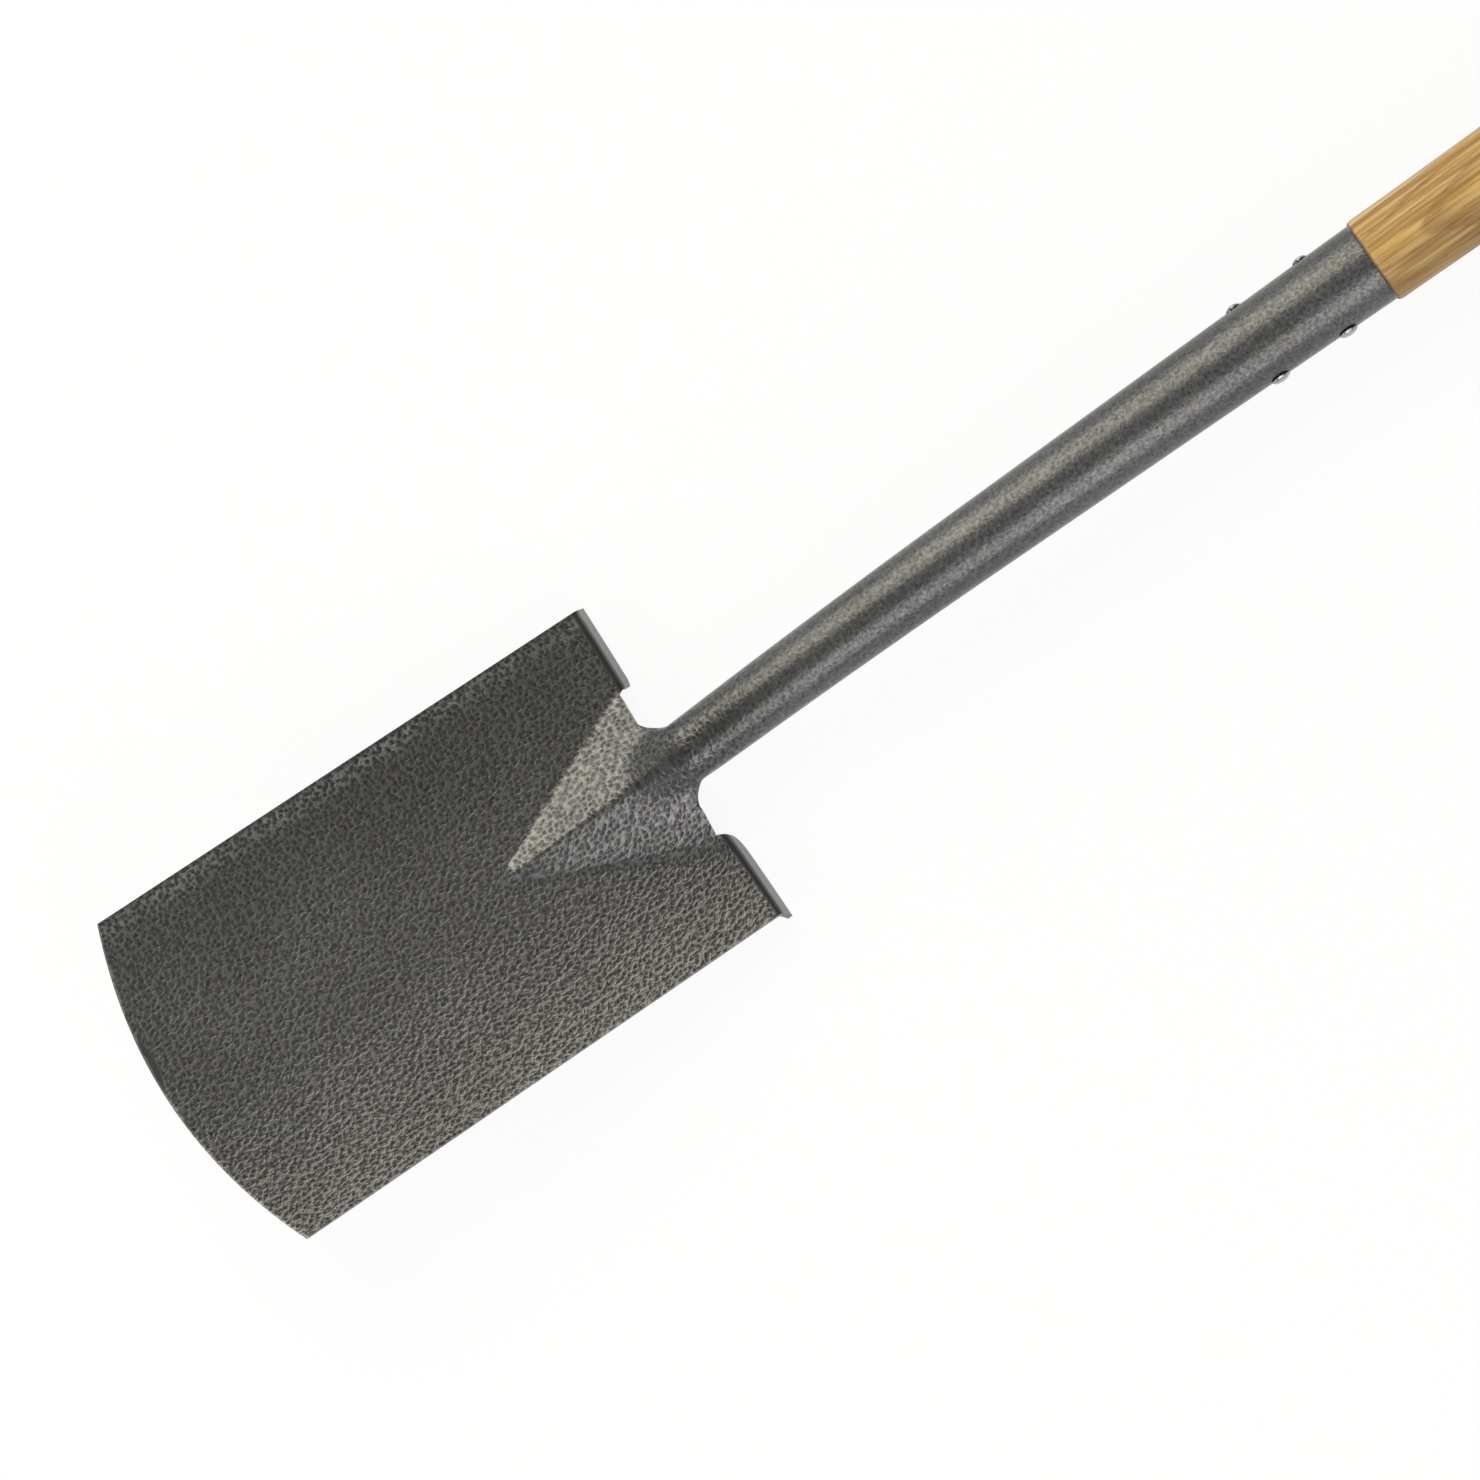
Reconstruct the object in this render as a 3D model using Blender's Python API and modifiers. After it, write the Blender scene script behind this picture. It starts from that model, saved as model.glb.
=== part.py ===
"""A border spade with a solid socket, an ash shaft and a split wishbone top with a turned cross grip.

Lengths are in metres. The pieces are laid out in the head's own frame: X runs from the cutting edge to
the handle, Y to the left as a gardener sees the front face, and Z out of the front face. The whole spade
then lies on its back on the ground, front face up, on the rear edges of its treads and on its handle.
"""
import math

import bmesh
import bpy
import numpy as np
from mathutils import Matrix, Vector

# Blade
BLADE_LENGTH = 0.212
TIP_WIDTH = 0.142
TOP_WIDTH = 0.138
TIP_BOW = 0.0145
DISH_RISE = 0.0034
DISH_POWER = 2.6
SHEET = 0.0020
EDGE_ROUND = 0.0005

# Shoulders, with the folded treads on both sides of the neck, which differ a little
SHOULDER_STEP = 0.0032
SHOULDER_LEAN = 0.0011
TREAD_INNER_END = 0.0343
TREAD_DEPTH = 0.0110
TREAD_FOLD = math.radians(69.0)
FOLD_RADIUS = 0.0023
TREAD_FLARE = 0.0014
TREAD_CORNER_LEFT = 0.0045
TREAD_CORNER_RIGHT = 0.0095
TREAD_SETBACK_LEFT = 0.0012
TREAD_ADVANCE_RIGHT = 0.0012
TREAD_SKEW_LEFT = 0.0012

# Socket: its centre line leaves the blade at the neck angle and bends down to the socket angle.
# The neck's nose starts on the ridge before the shoulders, and its sides end in concave fillets.
NECK_ANGLE = math.radians(15.6)
SOCKET_ANGLE = math.radians(7.75)
NECK_LENGTH = 0.0260
BEND_LENGTH = 0.1180
SOCKET_END = 0.5240
NECK_HEIGHT = 0.0081
NECK_RADIUS = 0.0119
RIM_RADIUS = 0.01615
NECK_REACH = 0.0080
NECK_FILLET_POWER = 1.6
NECK_NOSE_LEAD = 0.0220
NECK_SPREAD = 0.0205
THROAT_LENGTH = 0.0480
SEAM_GAP = 0.0008

# Spearhead: the raised ridge and facets that carry the neck into the blade, sized at the shoulders.
# Towards the cutting edge its middle strip goes on as part of the flat blade.
SPEARHEAD_LENGTH = 0.0720
RIDGE_HEIGHT = 0.0160
RIDGE_RADIUS = 0.0085
APEX_HALF_WIDTH = 0.0030
TIP_STRIP_HALF_WIDTH = 0.0150

# Shaft, measured along its own axis from the socket's rim
FIT = 0.0003
TENON_LENGTH = 0.1600
TENON_CHAMFER = 0.0025
SHOULDER_RADIUS = 0.0154
SHOULDER_ROUND = 0.0027
SHAFT_START_RADIUS = 0.0173
SHAFT_RADIUS = 0.0182
SHAFT_SWELL_LENGTH = 0.0900

# Wishbone: the fork's arms are one body up to the split, which is a share of the fork's length
FORK_START = 0.3150
FORK_LENGTH = 0.1080
SPLIT_SHARE = 0.20
SPLIT_SQUARENESS = 2.36
SPLIT_BLEND_SHARE = 0.04
CROTCH_HOLLOW_SHARE = 0.01
GRIP_DISTANCE = 0.4400
ARM_END_ALLOWANCE = 0.0180
ARM_HALF_THICKNESS = 0.0088
ARM_HALF_HEIGHT = 0.0150
ARM_SQUARENESS = 2.9
ARM_TIP_ANGLE = math.radians(78.0)
ARM_TIP_FULLNESS = 0.8
GRIP_LENGTH = 0.0950
GRIP_MIDDLE_RADIUS = 0.0145
GRIP_END_RADIUS = 0.0120
GRIP_EDGE_ROUND = 0.0010

# Fasteners
RIVET_ROD_RADIUS = 0.0028
RIVET_HEAD_RADIUS = 0.0048
RIVET_HEAD_HEIGHT = 0.0021
RIVET_ROD_OVERLAP = 0.0012
RIVET_FROM_RIM = 0.0213
RIVET_SPACING = 0.0300
THROAT_RIVET_DISTANCE = 0.2980
GRIP_ROD_RADIUS = 0.0038
ROD_HEAD_RADIUS = 0.0060
ROD_HEAD_HEIGHT = 0.0028
WASHER_RADIUS = 0.0085
WASHER_THICKNESS = 0.0014
SPOT_FACE_DEPTH = 0.0009

# How finely the curved surfaces are divided
CROWN_COLUMNS = 12
FLANGE_COLUMNS = 4
OUTER_COLUMNS = 8
PLAIN_STEPS = 6
RAISED_STEPS = 14
NECK_STEPS = 6
THROAT_STEPS = 7
BEND_STEPS = 5
SOCKET_STEPS = 2
FOLD_STEPS = 4
CORNER_STEPS = 6
TURNED_STEPS = 28
DOME_STEPS = 6
GRIP_STEPS = 12
SHAFT_ROUND_STEPS = 3
SHAFT_SWELL_STEPS = 4
FORK_STEPS = 4
ARM_STEPS = 10
ARM_TIP_STEPS = 4
OUTER_ARM_POINTS = 13
INNER_ARM_POINTS = 5

SHOULDER_X = BLADE_LENGTH - SHOULDER_STEP
NECK_END_X = SHOULDER_X + NECK_REACH
THROAT_END_X = NECK_END_X + THROAT_LENGTH
BEND_START_X = SHOULDER_X + NECK_LENGTH
BEND_END_X = BEND_START_X + BEND_LENGTH
APEX_X = SHOULDER_X - SPEARHEAD_LENGTH


def clear_scene():
    for item in list(bpy.data.objects):
        bpy.data.objects.remove(item, do_unlink=True)


def smooth_step(value):
    value = min(max(value, 0.0), 1.0)
    return value * value * (3.0 - 2.0 * value)


def mix(start, end, share):
    return start + (end - start) * share


def half_width(x):
    """Half of the blade's width at a distance from the tip corners."""
    return mix(TIP_WIDTH, TOP_WIDTH, x / BLADE_LENGTH) / 2


def dish(x, y):
    """Height of the blade's front face, which curves up towards both edges."""
    return DISH_RISE * (abs(y) / half_width(x)) ** DISH_POWER


def socket_radius(x):
    return mix(NECK_RADIUS, RIM_RADIUS, (x - SHOULDER_X) / (SOCKET_END - SHOULDER_X))


def socket_slope(x):
    """Angle of the socket's centre line above the blade's plane."""
    return mix(NECK_ANGLE, SOCKET_ANGLE, min(max((x - BEND_START_X) / BEND_LENGTH, 0.0), 1.0))


def socket_height(x, steps=40):
    """Height of the socket's centre line: a straight neck, an even bend, and a straight socket."""
    height = NECK_HEIGHT + (min(x, BEND_START_X) - SHOULDER_X) * math.tan(NECK_ANGLE)
    if x > BEND_START_X:
        run = min(x, BEND_END_X) - BEND_START_X
        for step in range(steps):
            height += math.tan(socket_slope(BEND_START_X + run * (step + 0.5) / steps)) * run / steps
    if x > BEND_END_X:
        height += (x - BEND_END_X) * math.tan(SOCKET_ANGLE)
    return height


def crease_half_width(x):
    """Half of the width of the raised spearhead, which grows from its apex to the shoulders.

    Between the cutting edge and the apex it is only a strip of the flat blade.
    """
    if x <= APEX_X:
        return mix(TIP_STRIP_HALF_WIDTH, APEX_HALF_WIDTH, x / APEX_X)
    return mix(APEX_HALF_WIDTH, TREAD_INNER_END, (x - APEX_X) / (SHOULDER_X - APEX_X))


def spearhead_section(x, share):
    """Point on the spearhead's face, from its ridge (share 0) to its neck edge (share 1).

    A round ridge and a flat facet that meets it and the crease line.
    """
    crease = crease_half_width(x)
    edge = crease * NECK_SPREAD / TREAD_INNER_END
    if x <= APEX_X:
        return edge * share, dish(x, edge * share)
    grown = (x - APEX_X) / (SHOULDER_X - APEX_X)
    radius = RIDGE_RADIUS * grown
    centre = RIDGE_HEIGHT * grown - radius
    foot = dish(x, crease)
    reach = math.hypot(crease, centre - foot)
    tilt = math.atan2(centre - foot, crease) + math.asin(min(radius / reach, 1.0))
    touch = radius * math.sin(tilt)
    arc = radius * tilt
    leg = (edge - touch) / math.cos(tilt)
    run = share * (arc + leg)
    if run < arc:
        return radius * math.sin(run / radius), centre + radius * math.cos(run / radius)
    beyond = run - arc
    return (touch + beyond * math.cos(tilt), centre + radius * math.cos(tilt) - beyond * math.sin(tilt))


def tube_section(x, share):
    """Point on the rolled socket, as an offset across and out from its centre line."""
    open_angle = math.pi / 2
    closed_angle = math.pi - SEAM_GAP / 2 / socket_radius(x)
    rolled = smooth_step((x - NECK_END_X) / THROAT_LENGTH)
    angle = mix(open_angle, closed_angle, rolled) * share
    return socket_radius(x) * math.sin(angle), socket_radius(x) * math.cos(angle)


def neck_blend(x, share):
    """How far the middle strip has turned from the spearhead (0) into the socket (1).

    The ridge starts first, as a rounded nose. The strip's edge turns last, in a concave fillet.
    """
    lead = NECK_NOSE_LEAD * (1.0 - share ** 1.5)
    gone = min(max((x - SHOULDER_X + lead) / (NECK_REACH + lead), 0.0), 1.0)
    fillet = (1.0 - (1.0 - gone) ** NECK_FILLET_POWER) ** (1.0 / NECK_FILLET_POWER)
    return mix(smooth_step(gone), fillet, share ** 12)


def crown_point(x, share, side):
    """Point of the middle strip, which is the spearhead at first and then the socket.

    The left shoulder lies a little lower at the neck than the right one.
    """
    turned = neck_blend(x, share)
    across, out = tube_section(x, share)
    lean = socket_slope(x) * smooth_step((x - NECK_END_X) / THROAT_LENGTH)
    tube = Vector((x - math.sin(lean) * out, across, socket_height(x) + math.cos(lean) * out))
    if turned >= 1.0:
        return Vector((tube.x, side * tube.y, tube.z))
    across, height = spearhead_section(x, share)
    raised = min(max((x - APEX_X) / (SHOULDER_X - APEX_X), 0.0), 1.0)
    lean = side * SHOULDER_LEAN * (share * raised) ** 4
    spear = Vector((x - lean, across, height))
    point = spear.lerp(tube, turned)
    return Vector((point.x, side * point.y, point.z))


def flange_point(x, share, side):
    """Point between the middle strip's edge and the crease line."""
    inner = crown_point(x, 1.0, side)
    crease = crease_half_width(x)
    outer = Vector((x, side * crease, dish(x, crease)))
    return inner.lerp(outer, share)


def outer_point(x, share, side):
    """Point of the blade's plain face, between the crease line and the edge."""
    y = mix(crease_half_width(x), half_width(x), share)
    return Vector((x, side * y, dish(x, y)))


def blade_row(x, pulled):
    """One row of points across the whole blade. A pulled row bows out with the cutting edge."""
    sides = []
    for side in (1, -1):
        row = [crown_point(x, step / CROWN_COLUMNS, side) for step in range(CROWN_COLUMNS + 1)]
        row += [flange_point(x, step / FLANGE_COLUMNS, side) for step in range(1, FLANGE_COLUMNS + 1)]
        row += [outer_point(x, step / OUTER_COLUMNS, side) for step in range(1, OUTER_COLUMNS + 1)]
        sides.append(row)
    points = sides[0][::-1] + sides[1][1:]
    for point in points:
        point.x -= TIP_BOW * pulled * (1.0 - (point.y / half_width(0.0)) ** 2)
    return points


def blade_rows():
    """Rows from the cutting edge to the shoulders."""
    rows = []
    for step in range(PLAIN_STEPS):
        share = step / PLAIN_STEPS
        rows.append(blade_row(APEX_X * share, 1.0 - smooth_step(share)))
    for step in range(RAISED_STEPS + 1):
        rows.append(blade_row(mix(APEX_X, SHOULDER_X, step / RAISED_STEPS), 0.0))
    return rows


def socket_rows():
    """Rows of the middle strip beyond the shoulders, up to the rim."""
    turns = np.linspace(0.0, math.pi / 2, NECK_STEPS + 1)[1:]
    stations = [mix(NECK_END_X, SHOULDER_X, math.cos(turn)) for turn in turns]
    for start, end, count in ((NECK_END_X, THROAT_END_X, THROAT_STEPS),
                              (THROAT_END_X, BEND_END_X, BEND_STEPS),
                              (BEND_END_X, SOCKET_END, SOCKET_STEPS)):
        stations += [mix(start, end, step / count) for step in range(1, count + 1)]
    rows = []
    for x in stations:
        left = [crown_point(x, step / CROWN_COLUMNS, 1) for step in range(CROWN_COLUMNS, 0, -1)]
        right = [crown_point(x, step / CROWN_COLUMNS, -1) for step in range(CROWN_COLUMNS + 1)]
        rows.append(left + right)
    return rows


def tread_chord(y, x):
    """Height on the straight line between the dish's heights at a tread's two ends, which keeps it flat."""
    inner = dish(x, TREAD_INNER_END)
    share = (y - TREAD_INNER_END) / (half_width(x) - TREAD_INNER_END)
    return mix(inner, dish(x, half_width(x)), share)


def tread_rows(side):
    """Rows of one tread, from the blade round the fold to the rear edge, in the order inner to outer.

    The left tread starts a little farther out, lies askew and has the sharper corner. The right one starts
    a little nearer to the neck.
    """
    corner, setback, skew = TREAD_CORNER_RIGHT, -TREAD_ADVANCE_RIGHT, 0.0
    if side > 0:
        corner, setback, skew = TREAD_CORNER_LEFT, TREAD_SETBACK_LEFT, TREAD_SKEW_LEFT
    fold_start = BLADE_LENGTH - FOLD_RADIUS * math.tan(TREAD_FOLD / 2)
    arc = FOLD_RADIUS * TREAD_FOLD
    flat = (TREAD_DEPTH - FOLD_RADIUS * (1.0 - math.cos(TREAD_FOLD))) / math.sin(TREAD_FOLD)
    corner = min(corner, flat - 2 * EDGE_ROUND)
    corner_start = arc + flat - corner
    runs = [arc * step / FOLD_STEPS for step in range(FOLD_STEPS + 1)]
    turns = np.linspace(0.0, math.pi / 2, CORNER_STEPS)
    runs += [corner_start + corner * math.sin(turn) for turn in turns]
    blade_edge = half_width(fold_start)
    rows = []
    for run in runs:
        bend = min(run, arc) / FOLD_RADIUS
        beyond = max(run - arc, 0.0)
        ahead = FOLD_RADIUS * math.sin(bend) + beyond * math.cos(TREAD_FOLD)
        drop = FOLD_RADIUS * (1.0 - math.cos(bend)) + beyond * math.sin(TREAD_FOLD)
        past = max(run - corner_start, 0.0)
        inner = TREAD_INNER_END + setback + corner - math.sqrt(max(corner ** 2 - past ** 2, 0.0))
        outer = blade_edge + TREAD_FLARE * (run / (arc + flat)) ** 1.5
        row = []
        for step in range(OUTER_COLUMNS + 1):
            y = mix(inner, outer, step / OUTER_COLUMNS)
            rise = dish(fold_start, min(y, blade_edge))
            x = fold_start + ahead - (rise - tread_chord(y, fold_start)) / math.tan(TREAD_FOLD)
            x -= skew * (blade_edge - y) / (blade_edge - TREAD_INNER_END)
            row.append(Vector((x, side * y, rise - drop)))
        rows.append(row)
    return rows


def add_grid(mesh, rows):
    """Joins rows of vertices with four-sided faces that look out of the front face."""
    for low, high in zip(rows, rows[1:]):
        for column in range(len(low) - 1):
            mesh.faces.new((low[column], low[column + 1], high[column + 1], high[column]))


def head_sheet():
    """The head's outer surface as one open sheet: blade, treads and rolled socket."""
    mesh = bmesh.new()
    blade = [[mesh.verts.new(point) for point in row] for row in blade_rows()]
    add_grid(mesh, blade)
    shoulder = blade[-1]
    side_columns = FLANGE_COLUMNS + OUTER_COLUMNS
    neck = shoulder[side_columns:len(shoulder) - side_columns]
    add_grid(mesh, [neck] + [[mesh.verts.new(point) for point in row] for row in socket_rows()])
    left = shoulder[:OUTER_COLUMNS + 1]
    add_grid(mesh, [left] + [[mesh.verts.new(point) for point in row[::-1]] for row in tread_rows(1)])
    right = shoulder[len(shoulder) - OUTER_COLUMNS - 1:]
    add_grid(mesh, [right] + [[mesh.verts.new(point) for point in row] for row in tread_rows(-1)])
    return mesh


def new_object(name, mesh, collection, parent, material=None):
    """Turns a bmesh into a named object in a collection, shaded smooth with sharp edges kept."""
    data = bpy.data.meshes.new(name)
    mesh.to_mesh(data)
    mesh.free()
    data.shade_smooth()
    data.set_sharp_from_angle(angle=math.radians(25))
    item = bpy.data.objects.new(name, data)
    collection.objects.link(item)
    item.parent = parent
    if material:
        data.materials.append(material)
    return item


def paint(name, colour, roughness, metallic):
    material = bpy.data.materials.new(name)
    material.use_nodes = True
    shader = material.node_tree.nodes["Principled BSDF"]
    shader.inputs["Base Color"].default_value = (*colour, 1.0)
    shader.inputs["Roughness"].default_value = roughness
    shader.inputs["Metallic"].default_value = metallic
    material.diffuse_color = (*colour, 1.0)
    return material


def hammered_paint():
    return paint("hammered_paint", (0.115, 0.110, 0.100), 0.38, 0.35)


def ash_wood():
    return paint("ash_wood", (0.58, 0.36, 0.15), 0.55, 0.0)


def bright_steel():
    return paint("bright_steel", (0.52, 0.51, 0.50), 0.30, 1.0)


def cut(item, cutter, operation="DIFFERENCE"):
    modifier = item.modifiers.new(cutter.name, "BOOLEAN")
    modifier.operation = operation
    modifier.solver = "EXACT"
    modifier.object = cutter


def round_edges(item, width, segments=1):
    modifier = item.modifiers.new("rounded_edges", "BEVEL")
    modifier.width = width
    modifier.segments = segments
    modifier.limit_method = "ANGLE"
    modifier.angle_limit = math.radians(40)


def turned(name, profile, collection, parent, material=None):
    """A solid of revolution about its own Y axis, from (radius, position) points.

    The profile runs along the outer side from the high end to the low end.
    """
    mesh = bmesh.new()
    ring = [mesh.verts.new((radius, 0.0, position)) for radius, position in profile]
    for start, end in zip(ring, ring[1:]):
        mesh.edges.new((start, end))
    if profile[0][0] > 0.0:
        mesh.edges.new((ring[-1], ring[0]))
    item = new_object(name, mesh, collection, parent, material)
    item.rotation_euler = (math.radians(-90), 0.0, 0.0)
    screw = item.modifiers.new("turned", "SCREW")
    screw.axis = "Z"
    screw.steps = TURNED_STEPS
    screw.render_steps = TURNED_STEPS
    screw.use_merge_vertices = True
    screw.merge_threshold = 0.00001
    screw.use_normal_calculate = False
    return item


def rod_profile(radius, half_length):
    return [(0.0, half_length), (radius, half_length), (radius, -half_length), (0.0, -half_length)]


def dome(radius, height, base, steps=DOME_STEPS):
    """Points of a domed head from its top at the axis to its edge, above a base."""
    sphere = (radius ** 2 + height ** 2) / (2 * height)
    reach = math.asin(min(radius / sphere, 1.0))
    return [(sphere * math.sin(reach * step / steps),
             base + height - sphere * (1.0 - math.cos(reach * step / steps))) for step in range(steps + 1)]


def domed_rod(radius, head_radius, head_height, seat):
    """Profile of a rod with a domed head on each end, whose flat undersides are at the seat."""
    top = dome(head_radius, head_height, seat)
    half = top + [(radius, seat)]
    return half + [(across, -along) for across, along in half[::-1]]


def washer_profile(bore, low, high):
    return [(bore, high), (WASHER_RADIUS, high), (WASHER_RADIUS, low), (bore, low)]


def spade_head(collection, frame):
    head = new_object("spade_head", head_sheet(), collection, frame, hammered_paint())
    shell = head.modifiers.new("sheet_thickness", "SOLIDIFY")
    shell.thickness = SHEET
    shell.offset = -1.0
    shell.use_even_offset = True
    round_edges(head, EDGE_ROUND)
    return head


def rim_place():
    """The middle of the socket's rim, in the head's frame."""
    return Vector((SOCKET_END, 0.0, socket_height(SOCKET_END)))


def tenon_radius(along):
    """Radius of the tenon at a distance from the rim, which follows the socket's taper."""
    x = SOCKET_END + along * math.cos(SOCKET_ANGLE)
    return socket_radius(x) - SHEET - FIT


def shaft_radius(along):
    share = smooth_step(along / SHAFT_SWELL_LENGTH)
    return mix(SHAFT_START_RADIUS, SHAFT_RADIUS, share)


def fork_spread(share):
    """Distance of an arm's middle from the shaft's axis, from the fork's root to its full width."""
    return mix(ARM_HALF_THICKNESS, GRIP_LENGTH / 2 + ARM_HALF_THICKNESS, smooth_step(share))


def fork_heading(share):
    """Angle of an arm's middle line to the shaft's axis."""
    share = min(max(share, 0.0), 1.0)
    rise = GRIP_LENGTH / 2 * 6.0 * share * (1.0 - share)
    return math.atan2(rise, FORK_LENGTH)


def fork_height(share):
    return mix(SHAFT_RADIUS, ARM_HALF_HEIGHT, smooth_step(share))


def rounded(angle, half_across, half_up, squareness):
    """Point on a superellipse."""
    across = abs(math.cos(angle)) ** (2 / squareness) * math.copysign(half_across, math.cos(angle))
    up = abs(math.sin(angle)) ** (2 / squareness) * math.copysign(half_up, math.sin(angle))
    return across, up


def full_ring(mesh, along, half_across, half_up, squareness=2.0):
    """A closed ring about the shaft's axis. Its first point is below the axis, and it turns to the left."""
    count = 2 * (OUTER_ARM_POINTS - 1)
    ring = []
    for step in range(count):
        across, up = rounded(2 * math.pi * step / count - math.pi / 2, half_across, half_up, squareness)
        ring.append(mesh.verts.new((along, across, up)))
    return ring


def arm_ring(mesh, centre, heading, scale, side, half_up):
    """A closed ring about an arm's middle, from below, round its outer side, to above, and back inside."""
    ring = []
    outer = [math.pi * step / (OUTER_ARM_POINTS - 1) - math.pi / 2 for step in range(OUTER_ARM_POINTS)]
    gap = math.pi / (INNER_ARM_POINTS + 1)
    inner = [math.pi / 2 + gap * (step + 1) for step in range(INNER_ARM_POINTS)]
    for angle in outer + inner:
        across, up = rounded(angle, ARM_HALF_THICKNESS * scale, half_up * scale, ARM_SQUARENESS)
        along = centre.x - math.sin(heading) * across
        ring.append(mesh.verts.new((along, side * (centre.y + math.cos(heading) * across), up)))
    return ring


def bridge(mesh, low, high, flipped=False):
    """Joins two closed rings of the same size."""
    for step in range(len(low)):
        after = (step + 1) % len(low)
        corners = (low[step], low[after], high[after], high[step])
        mesh.faces.new(corners[::-1] if flipped else corners)


def arm(mesh, root, side):
    """One arm of the wishbone, from the split to its rounded end."""
    low = root
    end = GRIP_DISTANCE + ARM_END_ALLOWANCE
    start = SPLIT_SHARE + SPLIT_BLEND_SHARE
    for step in range(ARM_STEPS + 1):
        share = mix(start, 1.0, step / ARM_STEPS)
        centre = Vector((FORK_START + FORK_LENGTH * share, fork_spread(share), 0.0))
        high = arm_ring(mesh, centre, fork_heading(share), 1.0, side, fork_height(share))
        bridge(mesh, low, high, side < 0)
        low = high
    for angle in np.linspace(0.0, ARM_TIP_ANGLE, ARM_TIP_STEPS + 1):
        centre = Vector((end - ARM_HALF_THICKNESS * (1.0 - math.sin(angle)), fork_spread(1.0), 0.0))
        high = arm_ring(mesh, centre, 0.0, math.cos(angle) ** ARM_TIP_FULLNESS, side, ARM_HALF_HEIGHT)
        bridge(mesh, low, high, side < 0)
        low = high
    mesh.faces.new(low if side > 0 else low[::-1])


def shaft_mesh():
    """The shaft as one body: tapered tenon, swelling shaft, and two arms beyond the split."""
    mesh = bmesh.new()
    stops = [(-TENON_LENGTH, tenon_radius(-TENON_LENGTH) - TENON_CHAMFER / 2)]
    stops += [(TENON_CHAMFER - TENON_LENGTH, tenon_radius(TENON_CHAMFER - TENON_LENGTH))]
    stops += [(FIT, tenon_radius(FIT))]
    for angle in np.linspace(0.0, math.pi / 2, SHAFT_ROUND_STEPS + 1):
        along = FIT + SHOULDER_ROUND * (1.0 - math.cos(angle))
        stops.append((along, mix(SHOULDER_RADIUS, SHAFT_START_RADIUS, math.sin(angle))))
    for step in range(1, SHAFT_SWELL_STEPS + 1):
        along = SHAFT_SWELL_LENGTH * step / SHAFT_SWELL_STEPS
        stops.append((along, shaft_radius(along)))
    stops += [(mix(SHAFT_SWELL_LENGTH, FORK_START, 0.5), SHAFT_RADIUS), (FORK_START, SHAFT_RADIUS)]
    rings = [full_ring(mesh, along, radius, radius) for along, radius in stops]
    for step in range(1, FORK_STEPS + 1):
        share = SPLIT_SHARE * step / FORK_STEPS
        heading = fork_heading(share)
        half_across = fork_spread(share) + ARM_HALF_THICKNESS * math.cos(heading)
        along = FORK_START + FORK_LENGTH * share - ARM_HALF_THICKNESS * math.sin(heading)
        square = mix(2.0, SPLIT_SQUARENESS, share / SPLIT_SHARE)
        rings.append(full_ring(mesh, along, half_across, fork_height(share), square))
    mesh.faces.new(rings[0][::-1])
    for low, high in zip(rings, rings[1:]):
        bridge(mesh, low, high)
    last = rings[-1]
    top = OUTER_ARM_POINTS - 1
    crotch = []
    for step in range(INNER_ARM_POINTS):
        angle = math.pi * (step + 1) / (INNER_ARM_POINTS + 1)
        height = fork_height(SPLIT_SHARE) * math.cos(angle)
        along = FORK_START + FORK_LENGTH * (SPLIT_SHARE + CROTCH_HOLLOW_SHARE * math.sin(angle))
        crotch.append(mesh.verts.new((along, 0.0, height)))
    left = last[:top + 1] + crotch
    right = [last[0]] + last[:top - 1:-1] + crotch
    arm(mesh, left, 1)
    arm(mesh, right, -1)
    return mesh


def socket_distance(which):
    """Distance of a socket rivet from the rim, back along the socket's axis."""
    return -(RIVET_FROM_RIM + RIVET_SPACING * which)


def socket_rivet(name, along, collection, cutters, axis, material):
    """A through rivet whose two heads are set down onto the round socket."""
    radius = socket_radius(SOCKET_END + along * math.cos(SOCKET_ANGLE))
    full = domed_rod(RIVET_HEAD_RADIUS, RIVET_HEAD_RADIUS, RIVET_HEAD_HEIGHT, radius)
    rivet = turned(name, full, collection, axis, material)
    rod = turned(name + "_rod", rod_profile(RIVET_ROD_RADIUS, radius + RIVET_ROD_OVERLAP), cutters, axis)
    for item in (rivet, rod):
        item.location = (along, 0.0, 0.0)
    return rivet, rod


def socket_envelope(cutters, axis):
    """The socket's outside, enlarged by the fit, in front of which the rivet heads sit."""
    steps = 2 * TURNED_STEPS
    reach = 3 * RIVET_HEAD_RADIUS
    low = socket_distance(1) - reach
    high = socket_distance(0) + reach
    mesh = bmesh.new()
    ends = []
    for along in (low, high):
        radius = socket_radius(SOCKET_END + along * math.cos(SOCKET_ANGLE)) + FIT
        ends.append([mesh.verts.new((along, radius * math.cos(2 * math.pi * step / steps),
                                     radius * math.sin(2 * math.pi * step / steps)))
                     for step in range(steps)])
    mesh.faces.new(ends[0][::-1])
    mesh.faces.new(ends[1])
    bridge(mesh, ends[0], ends[1])
    return hidden(new_object("socket_envelope", mesh, cutters, axis))


def hidden(item):
    item.hide_render = True
    item.display_type = "WIRE"
    return item


def bore(name, radius, along, cutters, axis):
    """A cutter through the whole width of the spade at a distance along the shaft."""
    item = turned(name, rod_profile(radius, TIP_WIDTH), cutters, axis)
    item.location = (along, 0.0, 0.0)
    return hidden(item)


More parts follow.
